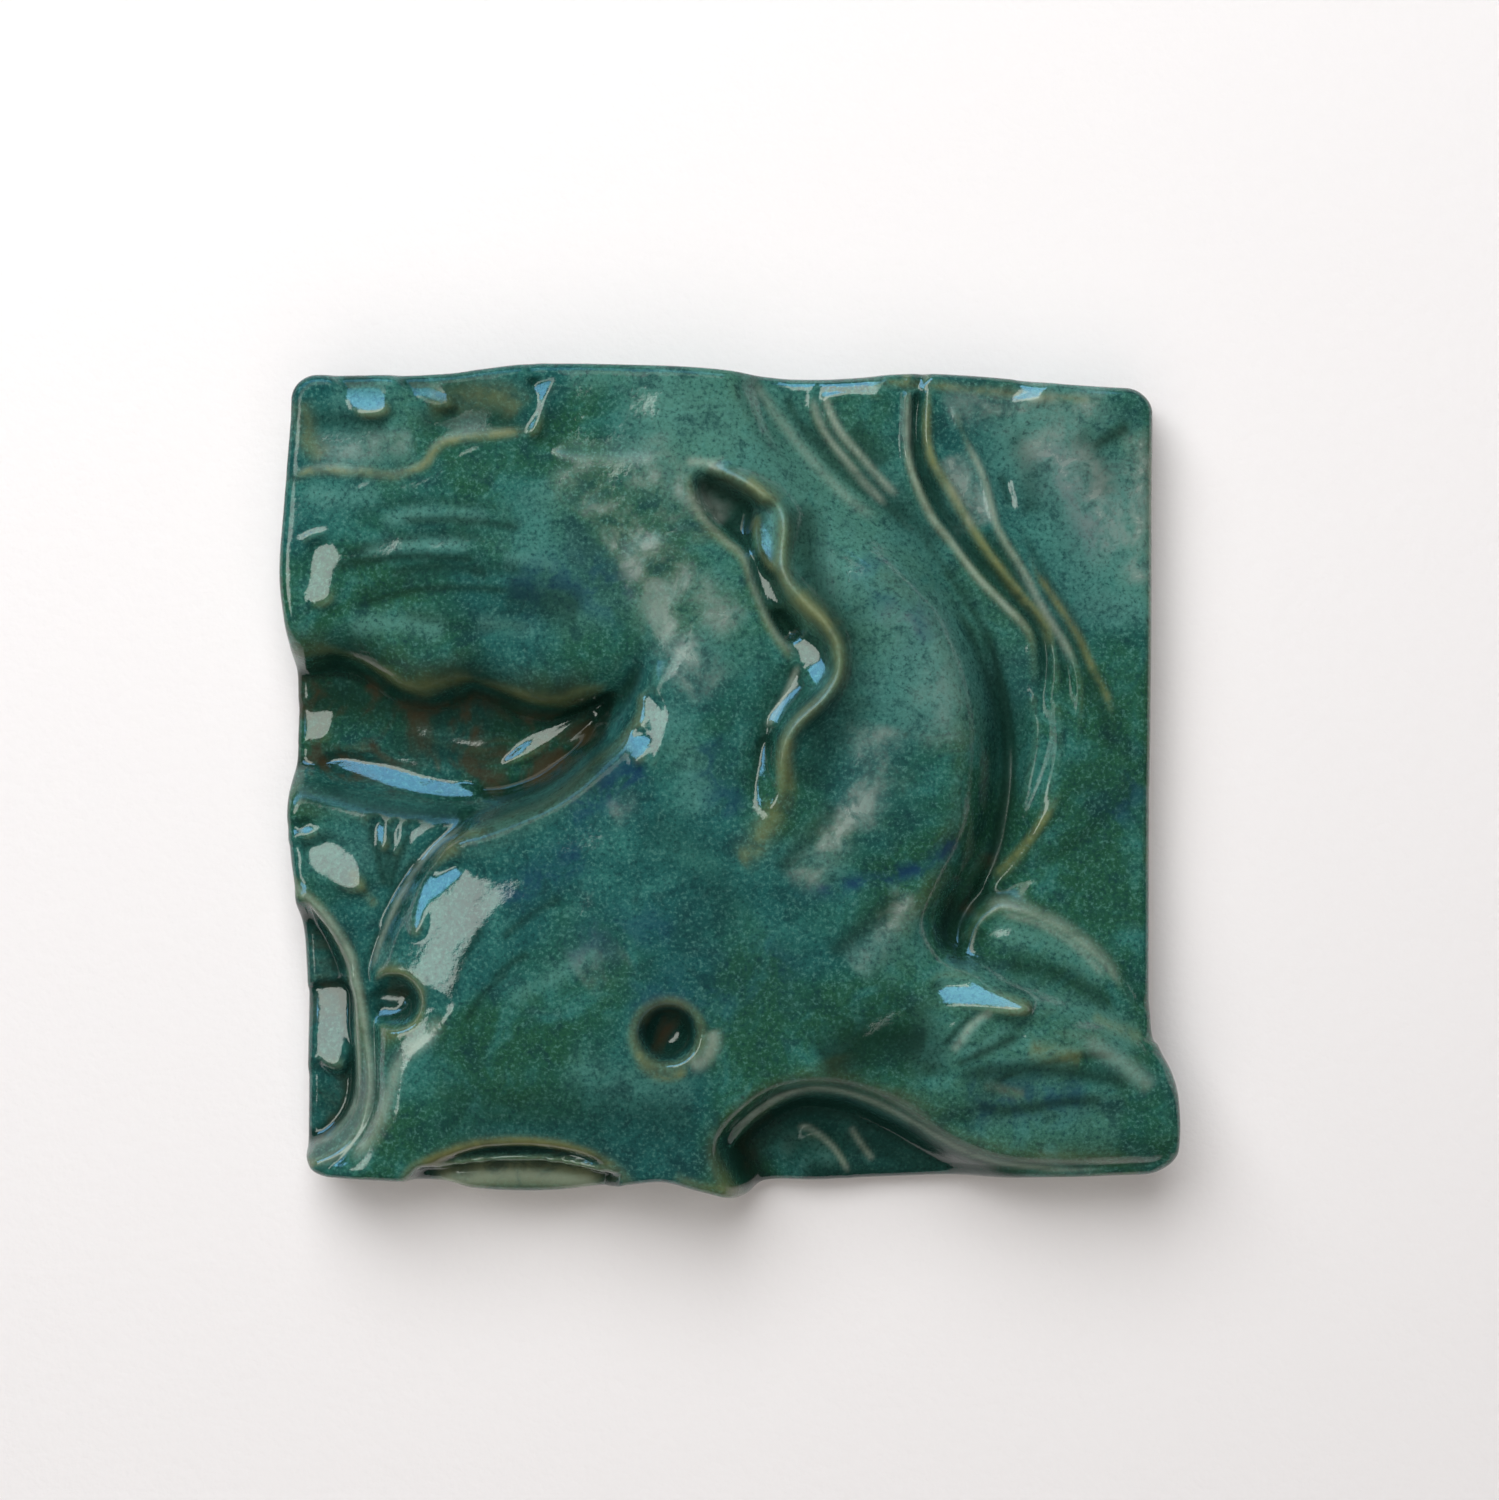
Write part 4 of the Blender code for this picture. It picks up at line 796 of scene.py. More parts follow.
# Strokes of glaze colour, painted light and shade, painted highlights and gloss, as (half width,
# strength, route). Some follow the same routes.
LIP_EDGE = [(-34.5, -47.1), (-29.8, -46.4), (-24.8, -46.1), (-19.3, -46.4), (-14.0, -47.2)]
LOW_RIM = [(0.4, -43.0), (1.1, -41.3), (2.7, -39.4), (6.4, -36.9), (10.1, -35.8), (13.7, -36.2),
           (17.4, -37.4), (21.1, -39.3), (24.8, -41.5), (28.5, -43.4), (32.2, -44.5), (37.8, -45.1),
           (45.2, -45.2)]
EYE_FLOOR = [(-8.0, -28.8), (-6.5, -29.3), (-5.1, -29.8)]
# Pale breaks on the strand crests and the lip, with painted highlights and glints on the small fin's
# folds, the head's flank, the mouth and the eye.
PALE_BREAKS_AND_GLINTS = [
    (0.90, 0.55, LIP_EDGE),
    (0.38, 0.70, [(11.5, 45.0), (12.0, 43.1), (13.4, 40.3), (15.7, 37.6), (18.0, 34.9), (20.3, 32.7)]),
    (0.38, 0.60, [(10.1, 44.7), (10.6, 42.6), (11.9, 39.8), (14.2, 36.9), (16.6, 34.1), (19.0, 31.7)]),
    (0.38, 0.65, [(21.2, 45.8), (21.2, 38.6), (22.0, 34.9), (24.1, 30.3), (26.2, 27.7), (29.3, 23.5),
                  (32.3, 20.3), (34.8, 17.7), (35.6, 15.6)]),
    (0.38, 0.55, [(27.6, 40.0), (30.0, 35.2), (31.6, 29.3), (34.4, 24.5), (37.2, 19.4), (39.5, 15.6),
                  (40.9, 12.4)]),
    (0.30, 0.5, [(-29.8, -5.3), (-33.2, -7.4), (-35.9, -10.4), (-38.4, -15.0), (-40.1, -19.1),
                 (-41.0, -22.5)]),
    (0.45, 0.5, SIDE_STRAND[:11]),
    (0.30, 0.5, INNER_STRAND),
    (0.60, 0.35, [(30.0, -15.4), (32.2, -14.2), (35.9, -15.2), (39.6, -17.1), (43.3, -20.0),
                  (46.2, -23.6)]),
    (0.30, 0.5, [(-3.8, 32.2), (-2.3, 29.9), (0.0, 27.5), (2.1, 25.7), (3.7, 21.2), (5.8, 16.9),
                 (8.6, 13.8)]),
    (0.30, 0.5, [(8.6, 13.4), (6.8, 9.4), (4.8, 5.9)]),
    (0.50, 0.5, [(-4.6, 36.6), (-2.6, 36.5), (0.0, 35.7)]),
    (0.60, 0.30, [(2.7, 47.1), (3.1, 46.3), (6.1, 42.2), (10.3, 36.8), (14.7, 32.3), (17.9, 30.0)]),
    (0.80, 0.50, [(-32.3, -26.8), (-34.3, -29.8), (-37.1, -31.9), (-38.5, -35.4), (-39.9, -39.8),
                  (-42.2, -42.9), (-43.6, -44.3)]),
    (0.30, 0.6, LOW_RIM),
    (0.30, 0.5, [(8.3, -41.1), (10.2, -41.3), (12.8, -43.5), (14.7, -46.6)]),
    (0.30, 0.5, [(14.7, -40.9), (15.8, -42.7), (17.5, -45.1)]),
    (0.80, 0.6, [(-4.2, -32.6), (-2.5, -32.2), (-1.3, -30.1), (-1.7, -28.5)]),
    (0.45, 0.5, [(26.0, -31.1), (27.3, -29.3), (28.9, -27.5)]),
    (0.40, 0.6, [(27.3, -29.1), (28.9, -27.5), (30.7, -26.5)]),
    (0.40, 0.5, [(30.6, -14.3), (34.3, -15.1), (38.9, -17.2), (43.3, -20.6), (46.3, -24.3)]),
    (0.40, 0.4, [(31.7, -15.5), (36.4, -16.8), (41.0, -19.6), (44.4, -23.2)]),
    (1.00, 0.28, [(41.0, -29.6), (44.4, -31.7), (47.3, -33.8), (49.3, -35.8)]),
]
OLIVE_LINES = [
    (0.50, 0.9, RUFFLE),
    (1.00, 0.7, [(2.3, 34.3), (3.7, 33.6), (5.2, 32.7), (6.3, 31.7)]),
    (1.80, 0.8, LIP_EDGE),
    (1.10, 0.7, [(8.1, 21.7), (9.2, 20.1), (11.1, 18.2), (12.3, 16.6)]),
    (0.70, 0.6, [(7.5, 5.1), (7.1, 2.2), (7.4, -1.2), (6.9, -4.1)]),
    (0.90, 0.3, [(6.8, 30.8), (6.8, 27.4), (6.7, 24.0), (8.1, 21.4), (12.3, 16.0), (13.2, 12.5),
                 (12.1, 9.1)]),
    (1.40, 0.6, [(6.6, -2.4), (4.6, -5.8), (2.7, -8.1), (1.2, -9.2)]),
    (0.45, 0.9, [(23.4, 44.7), (23.7, 37.9), (26.2, 33.5), (28.6, 29.3), (30.9, 25.9), (34.4, 21.4),
                 (37.2, 18.0), (37.9, 14.4)]),
    (0.40, 0.8, [(36.2, 24.2), (39.0, 20.0), (41.3, 16.3), (43.0, 12.4), (44.1, 10.5), (45.1, 7.7)]),
    (0.40, 0.7, [(31.1, -11.8), (34.4, -8.1), (38.0, -3.4)]),
    (0.50, 0.6, [(14.0, 45.7), (20.3, 45.9), (27.3, 45.5), (36.6, 44.5), (44.8, 44.1)]),
    (0.60, 0.7, [(49.9, 43.0), (50.0, 20.9), (49.9, -2.5), (49.5, -14.1)]),
    (0.60, 0.25, [(-14.5, 10.7), (-17.4, 9.5), (-21.5, 9.4), (-25.2, 10.3)]),
    (0.60, 0.25, [(-29.1, 12.2), (-33.1, 11.0), (-35.5, 10.6), (-38.0, 11.5), (-40.6, 13.8)]),
    (0.50, 0.8, [(-35.8, -44.6), (-32.9, -43.4), (-29.7, -42.1), (-24.5, -41.6), (-19.4, -42.0),
                 (-14.4, -43.4), (-11.5, -45.0)]),
    (1.20, 0.8, [(-33.3, -46.4), (-24.8, -45.7), (-18.1, -46.1), (-13.5, -46.9)]),
    (0.50, 0.8, [(-9.7, -30.6), (-9.4, -32.5), (-7.9, -33.8), (-5.7, -33.9), (-4.0, -33.0)]),
    (0.40, 0.5, [(-9.5, -28.3), (-8.4, -26.3), (-6.1, -25.6), (-3.8, -26.5)]),
    (0.40, 0.5, [(-40.8, -22.3), (-38.1, -22.1), (-35.8, -23.2), (-34.8, -25.5), (-35.5, -28.1),
                 (-37.6, -29.2)]),
    (0.50, 0.4, [(-43.7, -10.4), (-42.0, -12.7), (-40.5, -15.0)]),
    (1.00, 0.5, [(34.5, -30.7), (41.2, -31.9)]),
    (0.60, 0.4, [(29.4, -34.9), (34.5, -36.2)]),
    (0.80, 0.4, [(42.1, -27.3), (48.5, -30.1)]),
    (0.60, 0.5, [(-6.1, -45.4), (-2.9, -46.9), (2.0, -47.7)]),
    (1.60, 0.45, [(-34.9, 43.8), (-26.2, 44.3), (-23.3, 42.0)]),
    (1.20, 0.50, [(-49.4, 44.1), (-48.3, 39.4), (-45.9, 37.1)]),
    (0.70, 0.60, [(-51.4, 44.2), (-51.8, 37.2), (-51.7, 32.5)]),
]
# Glaze pooled in clefts and pits, together with painted shade: darker strokes in the valleys, beside the
# crest, between the head and the paddle, and under the fin lobes.
POOLS_AND_PAINTED_SHADE = [
    (0.70, 0.9, [(-46.1, 24.4), (-37.5, 25.7), (-27.7, 25.3)]),
    (0.90, 0.8, [(-39.2, 23.8), (-32.8, 24.6), (-26.5, 23.8)]),
    (0.60, 0.8, [(-43.8, 19.8), (-36.3, 21.8), (-29.4, 22.1), (-23.0, 21.5)]),
    (0.60, 0.7, [(-38.0, 29.8), (-30.5, 29.9), (-23.0, 29.1)]),
    (2.20, 0.7, [(-25.9, 21.8), (-20.7, 20.9), (-16.1, 19.8)]),
    (1.20, 0.7, [(31.8, -21.3), (38.8, -22.6), (45.7, -26.7)]),
    (1.00, 0.8, [(25.9, -34.0), (32.8, -33.0), (40.9, -33.7), (47.8, -35.2)]),
    (1.80, 0.6, [(40.8, 40.7), (43.1, 37.2), (44.3, 32.5)]),
    (1.60, 0.5, [(33.2, 40.7), (35.0, 37.2), (35.6, 30.2)]),
    (0.90, 0.9, [(42.5, 38.4), (47.2, 41.3)]),
    (2.30, 0.9, [(-2.9, 34.6), (0.6, 32.1), (4.1, 28.4)]),
    (1.20, 0.9, [(4.1, 27.1), (5.8, 20.7), (8.3, 16.1)]),
    (0.80, 0.9, [(22.4, 44.2), (22.0, 39.7), (23.8, 33.9), (27.6, 27.7), (31.0, 23.9), (34.5, 20.4),
                 (36.6, 17.4), (37.3, 13.9), (36.6, 9.2)]),
    (0.70, 0.7, [(30.3, 29.0), (33.0, 24.9), (36.3, 20.5), (38.8, 16.2), (39.8, 10.4)]),
    (0.90, 0.6, [(35.6, 25.5), (39.1, 18.5), (42.0, 13.3), (44.3, 6.9), (45.1, 2.2)]),
    (2.60, 0.7, [(32.1, 11.5), (33.2, 2.2), (32.1, -6.0), (29.1, -12.4), (25.6, -18.2)]),
    (0.70, 0.7, [(6.8, 44.1), (13.7, 35.5), (19.3, 32.0), (22.3, 29.2), (29.2, 19.0), (30.2, 15.5),
                 (30.7, 6.9)]),
    (0.40, 0.6, [(11.6, 30.4), (11.4, 25.2), (12.3, 20.6), (14.6, 17.2)]),
    (2.20, 0.5, [(16.7, 10.3), (13.3, 5.1), (9.2, -1.2)]),
    (0.80, 0.6, [(-45.0, 25.6), (-38.6, 27.5), (-32.8, 28.4), (-27.1, 27.8)]),
    (0.90, 0.5, [(-43.9, 20.4), (-37.5, 22.7), (-29.4, 24.6), (-21.3, 23.6)]),
    (0.60, 0.4, [(-43.2, 30.8), (-35.2, 32.2), (-25.4, 31.5)]),
    (0.80, 0.4, [(-37.5, 19.3), (-30.5, 17.8), (-21.9, 17.8)]),
    (1.80, 0.9, [(-50.9, 13.0), (-42.6, 14.5), (-38.0, 10.2), (-30.1, 12.1), (-24.0, 9.5), (-17.0, 10.2),
                 (-13.7, 11.6)]),
    (1.60, 0.8, [(-49.8, 0.4), (-45.2, -2.0), (-38.1, -3.9), (-28.7, -4.2), (-21.7, -2.8), (-15.8, 1.0),
                 (-13.0, 6.9)]),
    (3.20, 0.9, [(-52.3, 10.4), (-42.9, 9.2), (-32.4, 7.5), (-21.8, 6.9), (-14.7, 8.7)]),
    (2.40, 0.7, [(-40.6, 5.1), (-32.4, 3.6), (-24.1, 3.4)]),
    (2.20, 0.8, [(8.9, 32.7), (9.6, 25.2), (11.5, 20.6), (15.0, 14.3)]),
    (2.00, 0.8, [(-49.8, -16.0), (-46.9, -18.9), (-44.6, -23.0)]),
    (2.20, 0.6, [(-48.7, -36.5), (-46.3, -37.7), (-44.6, -40.0)]),
    (1.50, 0.9, [(2.7, -45.4), (4.1, -40.7), (8.8, -38.2), (13.8, -38.6), (20.5, -41.5), (27.6, -45.1),
                 (37.0, -46.7)]),
    (1.80, 0.7, [(-36.2, 41.4), (-29.7, 42.3), (-23.3, 41.3)]),
    (1.60, 0.6, [(-49.6, 41.3), (-44.9, 41.6), (-38.5, 40.9)]),
    (2.80, 0.5, [(-18.9, -36.8), (-2.8, -39.1)]),
    (2.40, 1.0, EYE_FLOOR),
    (1.60, 0.6, [(-39.3, -23.8), (-38.1, -23.5), (-37.0, -24.2)]),
    (0.70, 1.0, [(-36.0, -45.2), (-32.0, -43.4), (-28.1, -42.3), (-24.7, -42.1), (-21.3, -42.2),
                 (-17.4, -42.8), (-14.4, -43.8), (-12.7, -45.1)]),
    (3.40, 1.0, [(10.4, -33.2), (17.3, -29.4), (24.2, -30.6)]),
    (2.60, 0.7, [(20.7, -25.4), (23.0, -30.0), (23.6, -34.6)]),
    (2.20, 0.9, [(1.7, -45.7), (5.8, -41.1), (12.3, -39.7), (20.4, -42.9), (29.8, -46.0)]),
    (3.00, 0.9, [(7.6, -46.2), (20.5, -47.2), (32.3, -47.4)]),
    (3.40, 0.9, [(4.7, -43.6), (10.0, -42.2), (15.8, -42.7), (21.7, -44.8), (27.6, -46.7)]),
    (2.60, 0.9, [(2.3, -45.4), (4.7, -42.5), (8.8, -40.7), (13.5, -40.4)]),
    (2.20, 0.5, [(13.8, 21.7), (15.0, 14.8), (13.0, 7.4), (10.4, -0.1)]),
    (3.00, 0.35, [(-9.7, -4.7), (-2.8, -9.2), (1.8, -17.3)]),
    (2.40, 0.45, [(20.7, -23.6), (17.8, -28.7), (13.2, -32.2)]),
    (2.20, 0.55, [(8.7, 42.9), (13.4, 38.3), (19.2, 32.4), (26.2, 25.5)]),
    (1.40, 0.7, [(14.5, 41.2), (16.6, 38.3), (18.3, 35.9)]),
    (2.00, 0.6, [(8.7, 10.3), (11.0, 4.5), (8.7, -1.2)]),
    (1.20, 0.7, [(-38.8, -5.5), (-39.1, -8.3), (-39.5, -13.0)]),
    (0.60, 0.8, [(-41.3, -5.0), (-40.5, -8.3), (-39.5, -13.0)]),
    (0.60, 0.8, [(-36.5, -6.0), (-37.9, -8.9), (-39.3, -13.2)]),
    (1.20, 0.7, [(-28.6, -5.0), (-32.7, -7.8), (-35.6, -10.9), (-38.1, -15.5), (-40.0, -20.5)]),
    (1.40, 0.6, [(-50.3, -1.3), (-45.7, -2.6), (-38.7, -3.1)]),
    (3.50, 0.5, [(-33.8, -37.9), (-23.5, -37.9), (-12.0, -39.6)]),
    (1.60, 0.8, [(26.0, -21.5), (27.8, -19.2), (30.1, -16.9)]),
    (1.20, 0.8, [(27.4, -14.7), (30.9, -13.3), (33.2, -12.7)]),
    (1.80, 0.5, [(-29.1, -6.9), (-23.3, -4.2), (-18.0, -1.3), (-13.4, 1.6)]),
    (1.80, 0.6, [(30.3, 16.2), (32.3, 9.2), (32.8, 2.2), (32.1, -6.0)]),
    (1.20, 0.6, [(5.9, -10.9), (8.2, -8.4), (10.7, -5.6), (13.0, -2.4)]),
    (1.30, 0.7, [(11.6, -20.4), (14.2, -18.3), (16.9, -16.0), (20.5, -13.1)]),
    (2.60, 0.9, [(-3.1, 34.8), (0.4, 32.5), (3.6, 29.3)]),
    (2.20, 0.5, [(-33.2, 44.8), (-28.6, 44.2), (-23.9, 43.0)]),
    (0.60, 0.9, [(26.1, -32.7), (29.9, -31.0), (34.0, -29.2)]),
    (0.50, 0.9, [(29.9, -34.7), (35.1, -32.9), (41.4, -31.6), (45.5, -31.8)]),
    (0.70, 0.8, [(28.0, -37.3), (32.8, -37.8), (38.6, -36.9), (44.3, -36.7)]),
    (0.45, 0.8, [(24.8, -30.6), (26.5, -28.6), (28.4, -26.8)]),
    (0.60, 0.7, [(-31.9, -25.6), (-30.2, -21.0), (-27.5, -16.4)]),
    (0.50, 0.7, [(-29.8, -28.0), (-27.6, -24.5), (-24.5, -21.7)]),
    (0.50, 0.7, [(-26.8, -23.1), (-24.7, -21.2), (-22.2, -19.6)]),
    (0.60, 0.6, [(-25.8, -18.5), (-22.4, -15.6), (-18.4, -13.3)]),
    (0.26, 1.0, [(20.6, 5.1), (21.1, 5.1)]),
]
BROWN_POOLS = [
    (2.60, 1.0, EYE_FLOOR),
    (0.80, 1.0, [(-35.5, -45.1), (-32.0, -43.4), (-28.1, -42.3), (-24.7, -42.1), (-21.3, -42.2),
                 (-17.4, -42.8), (-14.8, -43.8)]),
    (1.60, 0.5, [(-39.3, -23.8), (-38.1, -24.4), (-37.0, -25.5)]),
    (1.40, 0.6, [(30.9, -8.3), (29.5, -12.4), (27.6, -15.9)]),
    (1.60, 0.5, [(1.5, -44.4), (3.5, -40.9), (5.8, -39.2)]),
]
COBALT_STREAKS = [
    (0.90, 0.9, [(6.9, -13.9), (14.4, -12.0), (22.8, -9.9), (27.6, -5.8)]),
    (2.60, 0.8, [(-18.9, -3.8), (-13.2, -0.7), (-8.6, 1.6)]),
    (3.20, 0.6, [(-25.9, 21.8), (-16.7, 22.4), (-9.8, 20.7)]),
    (2.00, 0.6, [(-25.8, -14.5), (-21.8, -11.6), (-15.5, -8.1)]),
    (2.40, 0.5, [(-2.8, 4.5), (-0.5, -0.1), (1.2, -4.7)]),
    (3.50, 0.4, [(-12.0, -25.3), (-0.5, -24.2), (8.6, -19.6)]),
    (3.00, 0.6, [(27.1, -36.3), (34.0, -36.7), (42.0, -35.7)]),
    (3.00, 0.4, [(14.4, 25.2), (20.1, 20.6), (23.6, 14.8)]),
    (2.00, 0.5, [(44.9, -4.8), (48.4, -0.1)]),
    (2.50, 0.4, [(-18.9, -20.7), (-12.0, -17.3), (-5.1, -16.1)]),
    (2.40, 0.4, [(36.7, 39.5), (41.4, 32.5), (44.9, 25.5)]),
]
# Painted haze reflections: where the glaze mirrors the room hazily, painted in pale grey.
PAINTED_HAZE_REFLECTIONS = [
    (2.20, 1.0, [(-19.3, 37.5), (-14.3, 31.0), (-9.7, 24.1), (-5.7, 15.4), (0.0, 9.1)]),
    (1.80, 0.8, [(-10.7, 36.5), (-7.4, 32.1), (-4.0, 28.1)]),
    (2.20, 1.0, [(-10.1, 39.0), (-5.1, 32.7), (-0.3, 28.7)]),
    (2.00, 0.9, [(-14.3, 31.6), (-8.0, 25.7), (-2.3, 20.6), (2.3, 16.9)]),
    (1.60, 1.0, [(25.5, 37.7), (27.9, 33.6), (29.9, 29.0)]),
    (3.20, 1.0, [(35.6, 41.8), (41.4, 34.9), (47.2, 25.5)]),
    (1.80, 1.0, [(47.8, 41.8), (48.4, 32.5), (48.1, 22.0)]),
    (1.80, 1.0, [(7.7, -12.7), (10.4, -9.5), (13.3, -5.8), (15.8, -1.8)]),
    (2.60, 0.8, [(14.4, -5.8), (16.9, -0.1), (18.3, 6.8)]),
    (1.50, 1.0, [(14.2, -21.7), (16.7, -19.4), (19.0, -16.4), (21.8, -12.7)]),
    (3.00, 0.4, [(20.1, 21.7), (24.1, 11.4), (24.7, 2.2)]),
    (2.20, 0.9, [(24.5, 43.6), (46.0, 42.8)]),
    (2.40, 0.5, [(-17.2, -22.4), (-12.0, -18.4)]),
    (1.20, 0.6, [(-13.2, -4.1), (-9.7, -2.4)]),
    (1.60, 0.5, [(-48.0, 37.8), (-41.0, 38.1), (-35.3, 39.2)]),
]
CREST_LEE = [(11.6, 32.1), (11.2, 25.2), (12.1, 19.5), (14.4, 16.0)]
DRY_STREAKS = [
    (0.90, 1.0, [(-28.5, -5.3), (-23.8, -3.0), (-19.2, -0.3), (-14.5, 3.4), (-12.0, 7.4), (-9.9, 11.5),
                 (-9.0, 15.0)]),
    (1.00, 1.0, [(-51.3, -0.8), (-46.2, -1.5), (-38.0, -3.2), (-29.8, -3.9)]),
    (0.70, 0.9, RUFFLE),
    (1.60, 0.9, [(-2.8, 35.6), (0.0, 35.1), (3.5, 33.7), (5.8, 31.7), (6.8, 28.9), (6.5, 25.6),
                 (7.1, 22.8), (9.2, 20.1), (11.6, 17.8), (13.2, 14.8), (12.6, 11.4), (10.9, 8.9),
                 (8.5, 6.6), (7.5, 3.4), (7.3, -1.2)]),
    (1.20, 0.9, CREST_LEE),
    (1.40, 0.8, [(-20.2, 38.4), (-14.4, 37.7), (-7.5, 37.7)]),
    (1.60, 1.0, LOW_RIM[2:]),
    (1.20, 0.9, [(26.6, -18.0), (28.9, -15.4), (32.2, -14.0), (36.4, -14.7)]),
    (1.00, 0.8, [(33.1, 4.5), (32.0, -5.9), (30.2, -11.7)]),
]
